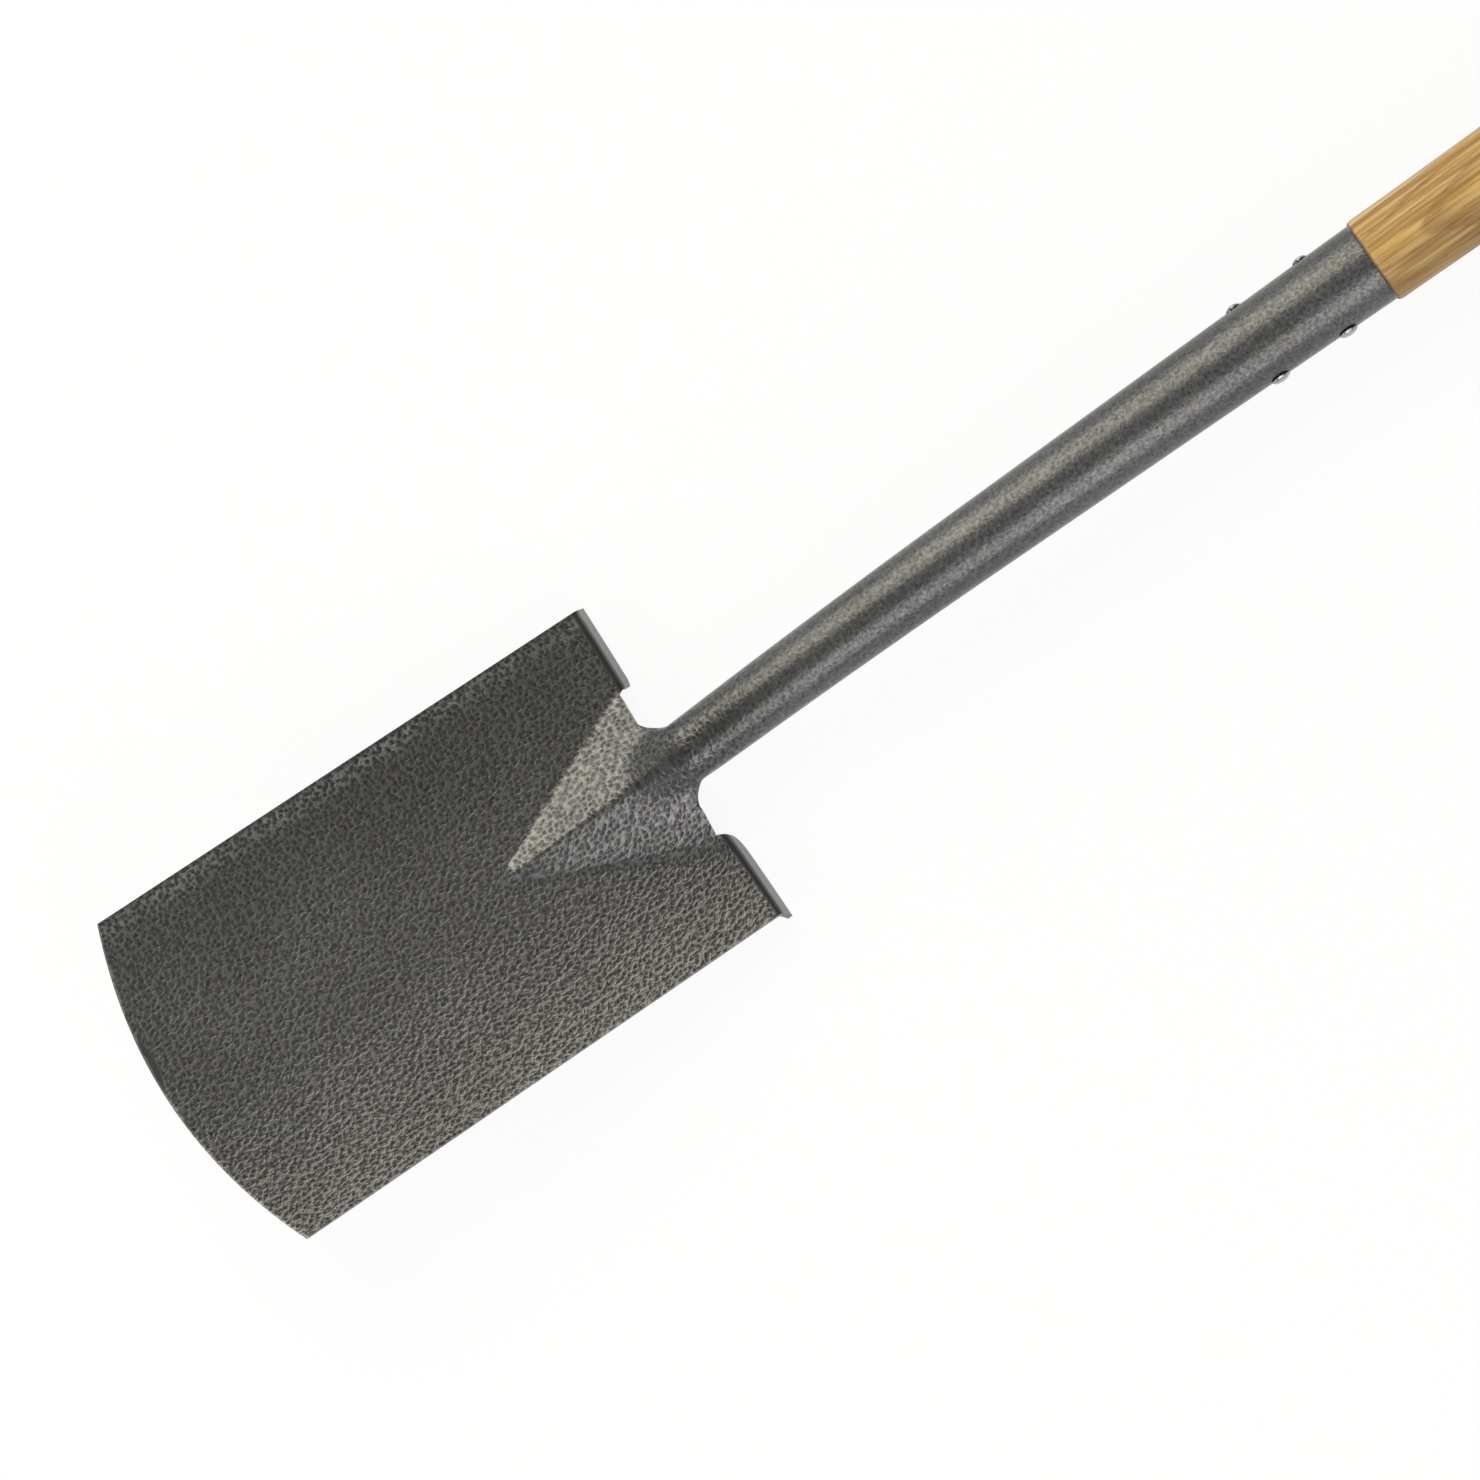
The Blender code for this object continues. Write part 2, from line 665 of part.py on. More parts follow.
def seated_hole(name, radius, seat, along, cutters, axis):
    """A cutter for a hole through the spade's width, with a flat round seat for a washer at both ends."""
    wide = WASHER_RADIUS + FIT
    half = [(0.0, TIP_WIDTH), (wide, TIP_WIDTH), (wide, seat), (radius, seat)]
    profile = half + [(across, -height) for across, height in half[::-1]]
    item = turned(name, profile, cutters, axis)
    item.location = (along, 0.0, 0.0)
    return hidden(item)


def fastened_pair(name, washer_name, rod_radius, seat, along, collection, axis, steel):
    """A rod with domed heads on two washers, seated on both sides at a distance from the axis."""
    outer = seat + FIT + WASHER_THICKNESS
    rod = turned(name, domed_rod(rod_radius, ROD_HEAD_RADIUS, ROD_HEAD_HEIGHT, outer + FIT),
                 collection, axis, steel)
    rod.location = (along, 0.0, 0.0)
    for side in (1, -1):
        low, high = sorted((side * (seat + FIT), side * outer))
        washer = turned(f"{washer_name}_{'left' if side > 0 else 'right'}",
                        washer_profile(rod_radius + FIT, low, high), collection, axis, steel)
        washer.location = (along, 0.0, 0.0)


def grip_bar(collection, axis, wood):
    """The turned cross grip between the arms, bored for its rod."""
    half = GRIP_LENGTH / 2 - FIT
    profile = []
    for step in range(GRIP_STEPS + 1):
        place = mix(half, -half, step / GRIP_STEPS)
        swell = 1.0 - (place / half) ** 2
        profile.append((mix(GRIP_END_RADIUS, GRIP_MIDDLE_RADIUS, swell), place))
    hole = GRIP_ROD_RADIUS + FIT
    grip = turned("grip_bar", [(hole, half)] + profile + [(hole, -half)], collection, axis, wood)
    grip.location = (GRIP_DISTANCE, 0.0, 0.0)
    round_edges(grip, GRIP_EDGE_ROUND)


def resting_place(items):
    """Tilt and height at which the spade lies on the ground, and the middle of its length."""
    graph = bpy.context.evaluated_depsgraph_get()
    clouds = []
    for item in items:
        seen = item.evaluated_get(graph)
        mesh = seen.to_mesh()
        flat = np.empty(3 * len(mesh.vertices))
        mesh.vertices.foreach_get("co", flat)
        turn = np.array(item.matrix_world)
        clouds.append(flat.reshape(-1, 3) @ turn[:3, :3].T + turn[:3, 3])
        seen.to_mesh_clear()
    points = np.concatenate(clouds)
    near = points[points[:, 0] < SOCKET_END]
    far = points[points[:, 0] >= SOCKET_END]
    tilt = 0.0
    for _ in range(20):
        lowest = [side[np.argmin(side[:, 2] * math.cos(tilt) - side[:, 0] * math.sin(tilt))]
                  for side in (near, far)]
        run = lowest[1] - lowest[0]
        tilt = math.atan2(run[2], run[0])
    lying = Matrix.Rotation(tilt, 4, "Y")
    placed = points @ np.array(lying)[:3, :3].T
    middle = (placed[:, 0].min() + placed[:, 0].max()) / 2
    return tilt, middle, placed[:, 2].min()


def build():
    clear_scene()
    pieces = bpy.data.collections.new("border_spade")
    cutters = bpy.data.collections.new("cutters")
    for collection in (pieces, cutters):
        bpy.context.scene.collection.children.link(collection)
    frame = bpy.data.objects.new("lying_frame", None)
    axis = bpy.data.objects.new("shaft_axis", None)
    for empty in (frame, axis):
        pieces.objects.link(empty)
    axis.parent = frame
    axis.location = rim_place()
    axis.rotation_euler = (0.0, -SOCKET_ANGLE, 0.0)

    wood = ash_wood()
    steel = bright_steel()
    head = spade_head(pieces, frame)
    shaft = new_object("shaft", shaft_mesh(), pieces, axis, wood)

    envelope = socket_envelope(cutters, axis)
    for which, place in enumerate(("upper", "lower")):
        along = socket_distance(which)
        rivet, rod = socket_rivet(f"socket_rivet_{place}", along, pieces, cutters, axis, steel)
        cut(rivet, envelope)
        cut(rivet, hidden(rod), "UNION")
        hole = bore(f"rivet_hole_{place}", RIVET_ROD_RADIUS + FIT, along, cutters, axis)
        cut(head, hole)
        cut(shaft, hole)

    throat_seat = SHAFT_RADIUS - SPOT_FACE_DEPTH
    grip_seat = GRIP_LENGTH / 2 + 2 * ARM_HALF_THICKNESS - SPOT_FACE_DEPTH
    cut(shaft, seated_hole("throat_hole", RIVET_ROD_RADIUS + FIT, throat_seat, THROAT_RIVET_DISTANCE,
                           cutters, axis))
    cut(shaft, seated_hole("grip_rod_hole", GRIP_ROD_RADIUS + FIT, grip_seat, GRIP_DISTANCE, cutters, axis))
    fastened_pair("throat_rivet", "throat_washer", RIVET_ROD_RADIUS, throat_seat,
                  THROAT_RIVET_DISTANCE, pieces, axis, steel)
    fastened_pair("grip_rod", "grip_washer", GRIP_ROD_RADIUS, grip_seat, GRIP_DISTANCE, pieces, axis, steel)
    grip_bar(pieces, axis, wood)

    bpy.context.view_layer.update()
    tilt, middle, lowest = resting_place([item for item in pieces.objects if item.type == "MESH"])
    frame.rotation_euler = (0.0, tilt, 0.0)
    frame.location = (-middle, 0.0, -lowest)
    bpy.context.view_layer.update()


build()
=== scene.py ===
"""Looks of the border spade: a hammered painted head, an ash shaft with a wishbone top, and its rivets.

Lengths are in metres. Shapes are made in the head's own frame, as the solids are: X runs from the cutting
edge to the handle, Y to the left as one sees the front face, and Z out of the front face. The spade then
takes the place that the frame gives it on the ground.
"""
import math

import bmesh
import bpy
import numpy as np
from mathutils import Matrix, Vector


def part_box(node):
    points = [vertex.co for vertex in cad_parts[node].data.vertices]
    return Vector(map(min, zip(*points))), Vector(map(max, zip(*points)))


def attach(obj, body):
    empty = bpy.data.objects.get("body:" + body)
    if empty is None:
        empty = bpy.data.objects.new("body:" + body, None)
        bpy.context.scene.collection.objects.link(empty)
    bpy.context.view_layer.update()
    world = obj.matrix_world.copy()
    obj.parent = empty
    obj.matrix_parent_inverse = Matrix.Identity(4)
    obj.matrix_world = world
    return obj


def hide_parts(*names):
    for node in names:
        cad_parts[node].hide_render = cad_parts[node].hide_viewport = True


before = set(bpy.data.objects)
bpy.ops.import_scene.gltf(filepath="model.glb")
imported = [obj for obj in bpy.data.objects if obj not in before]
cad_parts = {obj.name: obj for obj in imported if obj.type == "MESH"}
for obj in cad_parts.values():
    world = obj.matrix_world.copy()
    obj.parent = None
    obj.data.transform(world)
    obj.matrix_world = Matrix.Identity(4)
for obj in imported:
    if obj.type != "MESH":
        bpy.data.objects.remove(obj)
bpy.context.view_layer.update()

# Blade
BLADE_LENGTH = 0.212
TIP_WIDTH = 0.142
TOP_WIDTH = 0.138
TIP_BOW = 0.0145
DISH_RISE = 0.0034
DISH_POWER = 2.6
SHEET = 0.0020
RIM_ROUND = 0.0005
RIM_ANGLE = math.radians(60.0)
RIM_SEGMENTS = 3

# Shoulders, with the folded treads on both sides of the neck, which differ a little
SHOULDER_STEP = 0.0032
SHOULDER_LEAN = 0.0011
SHOULDER_LEAN_POWER = 4
TREAD_INNER_END = 0.0343
TREAD_DEPTH = 0.0110
TREAD_FOLD = math.radians(74.0)
FOLD_RADIUS = 0.0032
FOLD_ADVANCE = 0.00105
TREAD_FLARE = 0.0014
TREAD_FLARE_POWER = 1.5
TREAD_CORNER_LEFT = 0.0045
TREAD_CORNER_RIGHT = 0.0095
TREAD_SETBACK_LEFT = 0.0012
TREAD_ADVANCE_RIGHT = 0.0012
TREAD_SKEW_LEFT = 0.0012

# Socket: its centre line leaves the blade at the neck angle and bends down to the socket angle.
# The neck's nose starts on the ridge before the shoulders, and its sides end in concave fillets.
NECK_ANGLE = math.radians(15.6)
SOCKET_ANGLE = math.radians(7.75)
NECK_LENGTH = 0.0260
BEND_LENGTH = 0.1180
SOCKET_END = 0.5240
NECK_HEIGHT = 0.0081
NECK_RADIUS = 0.0119
RIM_RADIUS = 0.01615
NECK_REACH = 0.0080
NECK_FILLET_POWER = 1.6
NECK_FILLET_SHARPNESS = 12
NECK_NOSE_LEAD = 0.0220
NECK_NOSE_POWER = 1.5
NECK_SPREAD = 0.0205
THROAT_LENGTH = 0.0480
SEAM_GAP = 0.0008

# Spearhead: the raised ridge and facets that carry the neck into the blade, sized at the shoulders.
# Towards the cutting edge its middle strip goes on as part of the flat blade.
SPEARHEAD_LENGTH = 0.0720
RIDGE_HEIGHT = 0.0160
RIDGE_RADIUS = 0.0085
APEX_HALF_WIDTH = 0.0030
TIP_STRIP_HALF_WIDTH = 0.0150
CREASE_FILL_LEFT = 0.00015
CREASE_FILL_RIGHT = 0.0011

# Shaft, measured along its own axis from the socket's rim
FIT = 0.0003
RIM_GAP = 0.0001
TENON_LENGTH = 0.1600
TENON_CHAMFER = 0.0025
SHOULDER_ROUND = 0.0027
SHAFT_START_RADIUS = 0.0173
SHAFT_RADIUS = 0.0182
SHAFT_SWELL_LENGTH = 0.0900

# Wishbone: the fork's arms are one body up to the split, which is a share of the fork's length
FORK_START = 0.3150
FORK_LENGTH = 0.1080
SPLIT_SHARE = 0.20
ROUND_SQUARENESS = 2.0
SPLIT_SQUARENESS = 2.36
SPLIT_BLEND_SHARE = 0.04
CROTCH_HOLLOW_SHARE = 0.01
GRIP_DISTANCE = 0.4400
ARM_END_ALLOWANCE = 0.0180
ARM_HALF_THICKNESS = 0.0088
ARM_HALF_HEIGHT = 0.0150
ARM_SQUARENESS = 2.9
ARM_TIP_ANGLE = math.radians(78.0)
ARM_TIP_FULLNESS = 0.8
GRIP_LENGTH = 0.0950
GRIP_MIDDLE_RADIUS = 0.0145
GRIP_END_RADIUS = 0.0120
GRIP_EDGE_ROUND = 0.0010

# Fasteners
RIVET_ROD_RADIUS = 0.0028
SMALL_HEAD_RADIUS = 0.0033
WIDE_HEAD_RADIUS = 0.0040
RIVET_HEAD_HEIGHT = 0.0021
BUTTON_FLATNESS = 3
BUTTON_FLANK = 0.77
RIVET_FROM_RIM = 0.0213
RIVET_SPACING = 0.0300
THROAT_RIVET_DISTANCE = 0.2980
GRIP_ROD_RADIUS = 0.0038
ROD_HEAD_RADIUS = 0.0060
ROD_HEAD_HEIGHT = 0.0028
WASHER_RADIUS = 0.0085
WASHER_THICKNESS = 0.0014
SPOT_FACE_DEPTH = 0.0009
SPOT_CUTTER_REACH = 0.142
HEAD_BAND = 0.0004
EDGE_BREAK = 0.0003

# Paint: the patch and the rubbed line at the cutting edge, the net of pits, the calmer grit on the socket,
# and the relief, which grows from the blade's left to its right. Scales are in waves per metre.
PATCH_MIDDLE = 0.0158
PATCH_HALF_LENGTH = 0.0150
PATCH_DEPTH = 0.0040
PATCH_DARKENING = 0.66
RUBBED_DEPTH = 0.0030
RUBBED_SHARE = 0.55
RUBBED_SCALE = 90.0
PIT_SPACING = 0.0022
PIT_STRAY = 0.0012
PIT_STRAY_SCALE = 260.0
LOOP_SHARE = 0.38
TREAD_DARKENING = 0.48
CALM_FROM = 0.20
CALM_TO = 0.28
CALM_SHARE = 0.62
CALM_RELIEF = 0.65
GRIT_SCALE = 760.0
GRIT_DARK = 0.20
GRIT_LIGHT = 0.84
# Painted highlights along the blade's left edge: the scale of their patches
PAINTED_GLINT_SCALE = 60.0
DRIFT_SCALE = 26.0
RELIEF_HEIGHT = 0.00015
RELIEF_FROM = 0.002
RELIEF_TO = 0.040
RELIEF_LEFT = 0.80
RELIEF_RIGHT = 1.35
FINE_SCALE = 1300.0
FINE_RELIEF = 0.20
OFF_THE_BLADE = 1.0
PAINT_COLOURS = ((0.10, (0.048, 0.049, 0.049)), (0.45, (0.093, 0.095, 0.095)),
                 (0.85, (0.140, 0.142, 0.141)), (1.0, (0.190, 0.190, 0.188)))
RUBBED_COLOUR = (0.34, 0.33, 0.32, 1.0)

# Rivets and rods: the darkest and the lightest colour of each
RIVET_COLOURS = ((0.28, 0.28, 0.285, 1.0), (0.44, 0.44, 0.445, 1.0))
STEEL_COLOURS = ((0.44, 0.43, 0.42, 1.0), (0.62, 0.61, 0.60, 1.0))

# Ash: a row of the rings' pith is an axis, its place at the rim and its drift along the shaft. Noise has a
# scale along the grain and one across it, then detail and roughness.
RING_SPACING = 0.0048
PITH = (("Y", 0.014, 0.030), ("Z", -0.022, -0.050))
GRAIN_STRAY = 0.012
STRAY_NOISE = (5.0, 28.0)
BROAD_NOISE = (4.0, 120.0)
LONG_NOISE = (5.0, 300.0)
SHORT_NOISE = (24.0, 680.0, 3.0, 0.6)
PORE_NOISE = (110.0, 2200.0, 2.0, 0.6)
LONG_SHARE = 0.38
# Painted shade: how much of the wood's colour is left on the shaft's right side
RIGHT_SIDE_PAINTED_SHADE = 0.62
WOOD_RELIEF = 0.00010
WOOD_COLOURS = ((0.0, (0.355, 0.195, 0.048)), (0.5, (0.530, 0.330, 0.100)), (1.0, (0.690, 0.470, 0.185)))
EARLY_COLOUR = (0.26, 0.14, 0.040, 1.0)
PORE_COLOUR = (0.15, 0.075, 0.022, 1.0)
RIM_BAND_COLOUR = (0.045, 0.028, 0.016, 1.0)

# Light panels round a point of the head: name, angle from Z towards Y, tilt along X of the ends at the tip
# and at the handle, and width, all in degrees, then radiance and colour
LIT_MIDDLE = (0.25, 0.0, 0.03)
PANEL_DISTANCE = 2.4
PANELS = (("warm_panel", 46.5, -29.0, 25.0, 47.0, 2.36, (1.0, 0.91, 0.75)),
          ("cool_panel", -57.0, -29.0, 25.0, 42.0, 2.00, (1.0, 0.94, 0.93)),
          ("tip_panel", 0.0, -85.0, -66.0, 80.0, 4.5, (1.0, 1.0, 1.0)),
          ("thin_strip", 78.0, -27.0, 25.0, 3.0, 3.0, (1.0, 1.0, 1.0)))

# World past the handle's end, past the tip and on the left: an axis, the two directions on it between which
# the level changes, and the level at each
WORLD_LEVELS = (("X", 0.16, -0.06, 0.155, 1.00), ("X", -0.34, -0.08, 0.10, 1.00), ("Y", 0.5, 0.95, 0.0, 0.40))

# Floor: its own glow and its colour, hidden from the camera and seen, and how much of it mirrors see
FLOOR_SIZE = 60.0
FLOOR_DROP = 0.0002
FLOOR_GLOW_HIDDEN = 0.30
FLOOR_GLOW_SEEN = 0.92
FLOOR_IN_MIRRORS = 0.70
FLOOR_COLOURS = ((0.50, 0.50, 0.50, 1.0), (0.95, 0.95, 0.95, 1.0))

# How finely the surfaces are divided
CROWN_COLUMNS = 44
FLANGE_COLUMNS = 14
OUTER_COLUMNS = 34
PLAIN_STEPS = 60
RAISED_STEPS = 56
NECK_STEPS = 14
THROAT_STEPS = 32
BEND_STEPS = 24
SOCKET_STEPS = 60
FOLD_STEPS = 10
REACH_COLUMNS = 3
CORNER_STEPS = 13
TURNED_STEPS = 72
DOME_STEPS = 14
GRIP_STEPS = 40
GRIP_ROUND_STEPS = 6
SHAFT_ROUND_STEPS = 8
SHAFT_SWELL_STEPS = 16
SHAFT_STEPS = 40
FORK_STEPS = 16
ARM_STEPS = 44
ARM_TIP_STEPS = 10
OUTER_ARM_POINTS = 37
INNER_ARM_POINTS = 15
SHARP_ANGLE = math.radians(30.0)

# The photograph's camera in the head's frame: its lean from the face's normal, distance, turn and target
CAMERA_PITCH = math.radians(-3.0)
CAMERA_ROLL = math.radians(-10.0)
CAMERA_DISTANCE = 3.5
CAMERA_TURN = math.radians(33.81)
CAMERA_TARGET = (0.2365, -0.0057, 0.0)
CAMERA_LENS = 228.8
CAMERA_SENSOR = 36.0
CAMERA_REACH = 100.0

SHOULDER_X = BLADE_LENGTH - SHOULDER_STEP
NECK_END_X = SHOULDER_X + NECK_REACH
THROAT_END_X = NECK_END_X + THROAT_LENGTH
BEND_START_X = SHOULDER_X + NECK_LENGTH
BEND_END_X = BEND_START_X + BEND_LENGTH
APEX_X = SHOULDER_X - SPEARHEAD_LENGTH

# Rods through the wood: node, start of its washers' nodes, radius, its washers' seat, distance from the rim
THROAT_SEAT = SHAFT_RADIUS - SPOT_FACE_DEPTH
GRIP_SEAT = GRIP_LENGTH / 2 + 2 * ARM_HALF_THICKNESS - SPOT_FACE_DEPTH
RODS = (("throat_rivet", "throat_washer", RIVET_ROD_RADIUS, THROAT_SEAT, THROAT_RIVET_DISTANCE),
        ("grip_rod", "grip_washer", GRIP_ROD_RADIUS, GRIP_SEAT, GRIP_DISTANCE))


def clamp(value):
    return min(max(value, 0.0), 1.0)


def smooth_step(value):
    value = clamp(value)
    return value * value * (3.0 - 2.0 * value)


def mix(start, end, share):
    return start + (end - start) * share


def shares(count, first=0):
    """Even steps from 0 to 1, or from the first step after 0."""
    return [step / count for step in range(first, count + 1)]


def quarter_turn(steps):
    return np.linspace(0.0, math.pi / 2, steps + 1)


def half_width(x):
    """Half of the blade's width at a distance from the tip corners."""
    return mix(TIP_WIDTH, TOP_WIDTH, x / BLADE_LENGTH) / 2


def dish(x, y):
    """Height of the blade's front face, which curves up towards both edges."""
    return DISH_RISE * (abs(y) / half_width(x)) ** DISH_POWER


def socket_radius(x):
    return mix(NECK_RADIUS, RIM_RADIUS, (x - SHOULDER_X) / (SOCKET_END - SHOULDER_X))


def socket_slope(x):
    """Angle of the socket's centre line above the blade's plane."""
    return mix(NECK_ANGLE, SOCKET_ANGLE, clamp((x - BEND_START_X) / BEND_LENGTH))


def socket_height(x, steps=40):
    """Height of the socket's centre line: a straight neck, an even bend, and a straight socket."""
    height = NECK_HEIGHT + (min(x, BEND_START_X) - SHOULDER_X) * math.tan(NECK_ANGLE)
    if x > BEND_START_X:
        run = min(x, BEND_END_X) - BEND_START_X
        for step in range(steps):
            height += math.tan(socket_slope(BEND_START_X + run * (step + 0.5) / steps)) * run / steps
    if x > BEND_END_X:
        height += (x - BEND_END_X) * math.tan(SOCKET_ANGLE)
    return height


def crease_half_width(x):
    """Half of the width of the raised spearhead, which grows from its apex to the shoulders.

    Between the cutting edge and the apex it is only a strip of the flat blade.
    """
    if x <= APEX_X:
        return mix(TIP_STRIP_HALF_WIDTH, APEX_HALF_WIDTH, x / APEX_X)
    return mix(APEX_HALF_WIDTH, TREAD_INNER_END, (x - APEX_X) / (SHOULDER_X - APEX_X))


def raised_share(x):
    """How far the spearhead has grown, from nothing at its apex to one at the shoulders."""
    return clamp((x - APEX_X) / (SHOULDER_X - APEX_X))


def facet_tilt(x):
    """Angle of the flat facet that touches the round ridge and meets the crease line."""
    crease = crease_half_width(x)
    radius = RIDGE_RADIUS * raised_share(x)
    drop = RIDGE_HEIGHT * raised_share(x) - radius - dish(x, crease)
    return math.atan2(drop, crease) + math.asin(min(radius / math.hypot(crease, drop), 1.0))


def spearhead_section(x, share):
    """Point on the spearhead's face, from its ridge (share 0) to its neck edge (share 1).

    A round ridge and a flat facet that meets it and the crease line.
    """
    edge = crease_half_width(x) * NECK_SPREAD / TREAD_INNER_END
    if x <= APEX_X:
        return edge * share, dish(x, edge * share)
    radius = RIDGE_RADIUS * raised_share(x)
    centre = RIDGE_HEIGHT * raised_share(x) - radius
    tilt = facet_tilt(x)
    touch = radius * math.sin(tilt)
    arc = radius * tilt
    leg = (edge - touch) / math.cos(tilt)
    run = share * (arc + leg)
    if run < arc:
        return radius * math.sin(run / radius), centre + radius * math.cos(run / radius)
    beyond = run - arc
    return (touch + beyond * math.cos(tilt), centre + radius * math.cos(tilt) - beyond * math.sin(tilt))


def crease_fill(x, point):
    """Height that rounds the hollow crease beside a facet: a little on the left, and wide on the right."""
    grown = raised_share(x)
    if grown == 0.0:
        return 0.0
    soft = grown * (CREASE_FILL_LEFT if point.y > 0.0 else CREASE_FILL_RIGHT)
    crease = crease_half_width(x)
    plain = dish(x, point.y)
    apart = point.z - plain
    if abs(point.y) > crease:
        apart = plain - dish(x, crease) + (abs(point.y) - crease) * math.tan(facet_tilt(x))
    return soft * math.log1p(math.exp(-abs(apart) / soft))


def tube_section(x, share):
    """Point on the rolled socket, as an offset across and out from its centre line."""
    closed_angle = math.pi - SEAM_GAP / 2 / socket_radius(x)
    rolled = smooth_step((x - NECK_END_X) / THROAT_LENGTH)
    angle = mix(math.pi / 2, closed_angle, rolled) * share
    return socket_radius(x) * math.sin(angle), socket_radius(x) * math.cos(angle)


def neck_blend(x, share):
    """How far the middle strip has turned from the spearhead (0) into the socket (1).

    The ridge starts first, as a rounded nose. The strip's edge turns last, in a concave fillet.
    """
    lead = NECK_NOSE_LEAD * (1.0 - share ** NECK_NOSE_POWER)
    gone = clamp((x - SHOULDER_X + lead) / (NECK_REACH + lead))
    fillet = (1.0 - (1.0 - gone) ** NECK_FILLET_POWER) ** (1.0 / NECK_FILLET_POWER)
    return mix(smooth_step(gone), fillet, share ** NECK_FILLET_SHARPNESS)


def crown_point(x, share, side):
    """Point of the middle strip, which is the spearhead at first and then the socket.

    At the neck the left shoulder lies a little nearer to the tip than the right one.
    """
    turned = neck_blend(x, share)
    across, out = tube_section(x, share)
    lean = socket_slope(x) * smooth_step((x - NECK_END_X) / THROAT_LENGTH)
    point = Vector((x - math.sin(lean) * out, across, socket_height(x) + math.cos(lean) * out))
    if turned < 1.0:
        across, height = spearhead_section(x, share)
        lean = side * SHOULDER_LEAN * (share * raised_share(x)) ** SHOULDER_LEAN_POWER
        point = Vector((x - lean, across, height)).lerp(point, turned)
    point.y *= side
    return point


def flange_point(x, share, side):
    """Point between the middle strip's edge and the crease line."""
    inner = crown_point(x, 1.0, side)
    crease = crease_half_width(x)
    outer = Vector((x, side * crease, dish(x, crease)))
    return inner.lerp(outer, share)


def outer_point(x, share, side):
    """Point of the blade's plain face, between the crease line and the edge."""
    y = mix(crease_half_width(x), half_width(x), share)
    return Vector((x, side * y, dish(x, y)))


def crown_row(x, side):
    return [crown_point(x, share, side) for share in shares(CROWN_COLUMNS)]


def blade_row(x, pulled):
    """One row of points across the whole blade. A pulled row bows out with the cutting edge."""
    left, right = [crown_row(x, side) + [flange_point(x, share, side) for share in shares(FLANGE_COLUMNS, 1)]
                   + [outer_point(x, share, side) for share in shares(OUTER_COLUMNS, 1)] for side in (1, -1)]
    points = left[::-1] + right[1:]
    for point in points:
        point.z += crease_fill(x, point)
        point.x -= TIP_BOW * pulled * (1.0 - (point.y / half_width(0.0)) ** 2)
    return points


def blade_rows():
    """Rows from the cutting edge to the shoulders."""
    plain = [blade_row(APEX_X * share, 1.0 - smooth_step(share)) for share in shares(PLAIN_STEPS)[:-1]]
    return plain + [blade_row(mix(APEX_X, SHOULDER_X, share), 0.0) for share in shares(RAISED_STEPS)]


def socket_rows():
    """Stations and rows of the middle strip beyond the shoulders, up to the rim."""
    stations = [mix(NECK_END_X, SHOULDER_X, math.cos(turn)) for turn in quarter_turn(NECK_STEPS)[1:]]
    for start, end, count in ((NECK_END_X, THROAT_END_X, THROAT_STEPS),
                              (THROAT_END_X, BEND_END_X, BEND_STEPS),
                              (BEND_END_X, SOCKET_END, SOCKET_STEPS)):
        stations += [mix(start, end, share) for share in shares(count, 1)]
    return [(x, crown_row(x, 1)[::-1] + crown_row(x, -1)[1:]) for x in stations]


def tread_chord(y, x):
    """Height on the straight line between the dish's heights at a tread's two ends, which keeps it flat."""
    inner = dish(x, TREAD_INNER_END)
    share = (y - TREAD_INNER_END) / (half_width(x) - TREAD_INNER_END)
    return mix(inner, dish(x, half_width(x)), share)


def shoulder_rise(y, x, side):
    """Height of the shoulder's edge at a distance from the middle: a facet near the neck, then the dish."""
    crease = crease_half_width(SHOULDER_X)
    if y >= crease:
        return dish(x, y)
    neck = crown_point(SHOULDER_X, 1.0, side)
    return mix(neck.z, dish(x, crease), (y - abs(neck.y)) / (crease - abs(neck.y)))


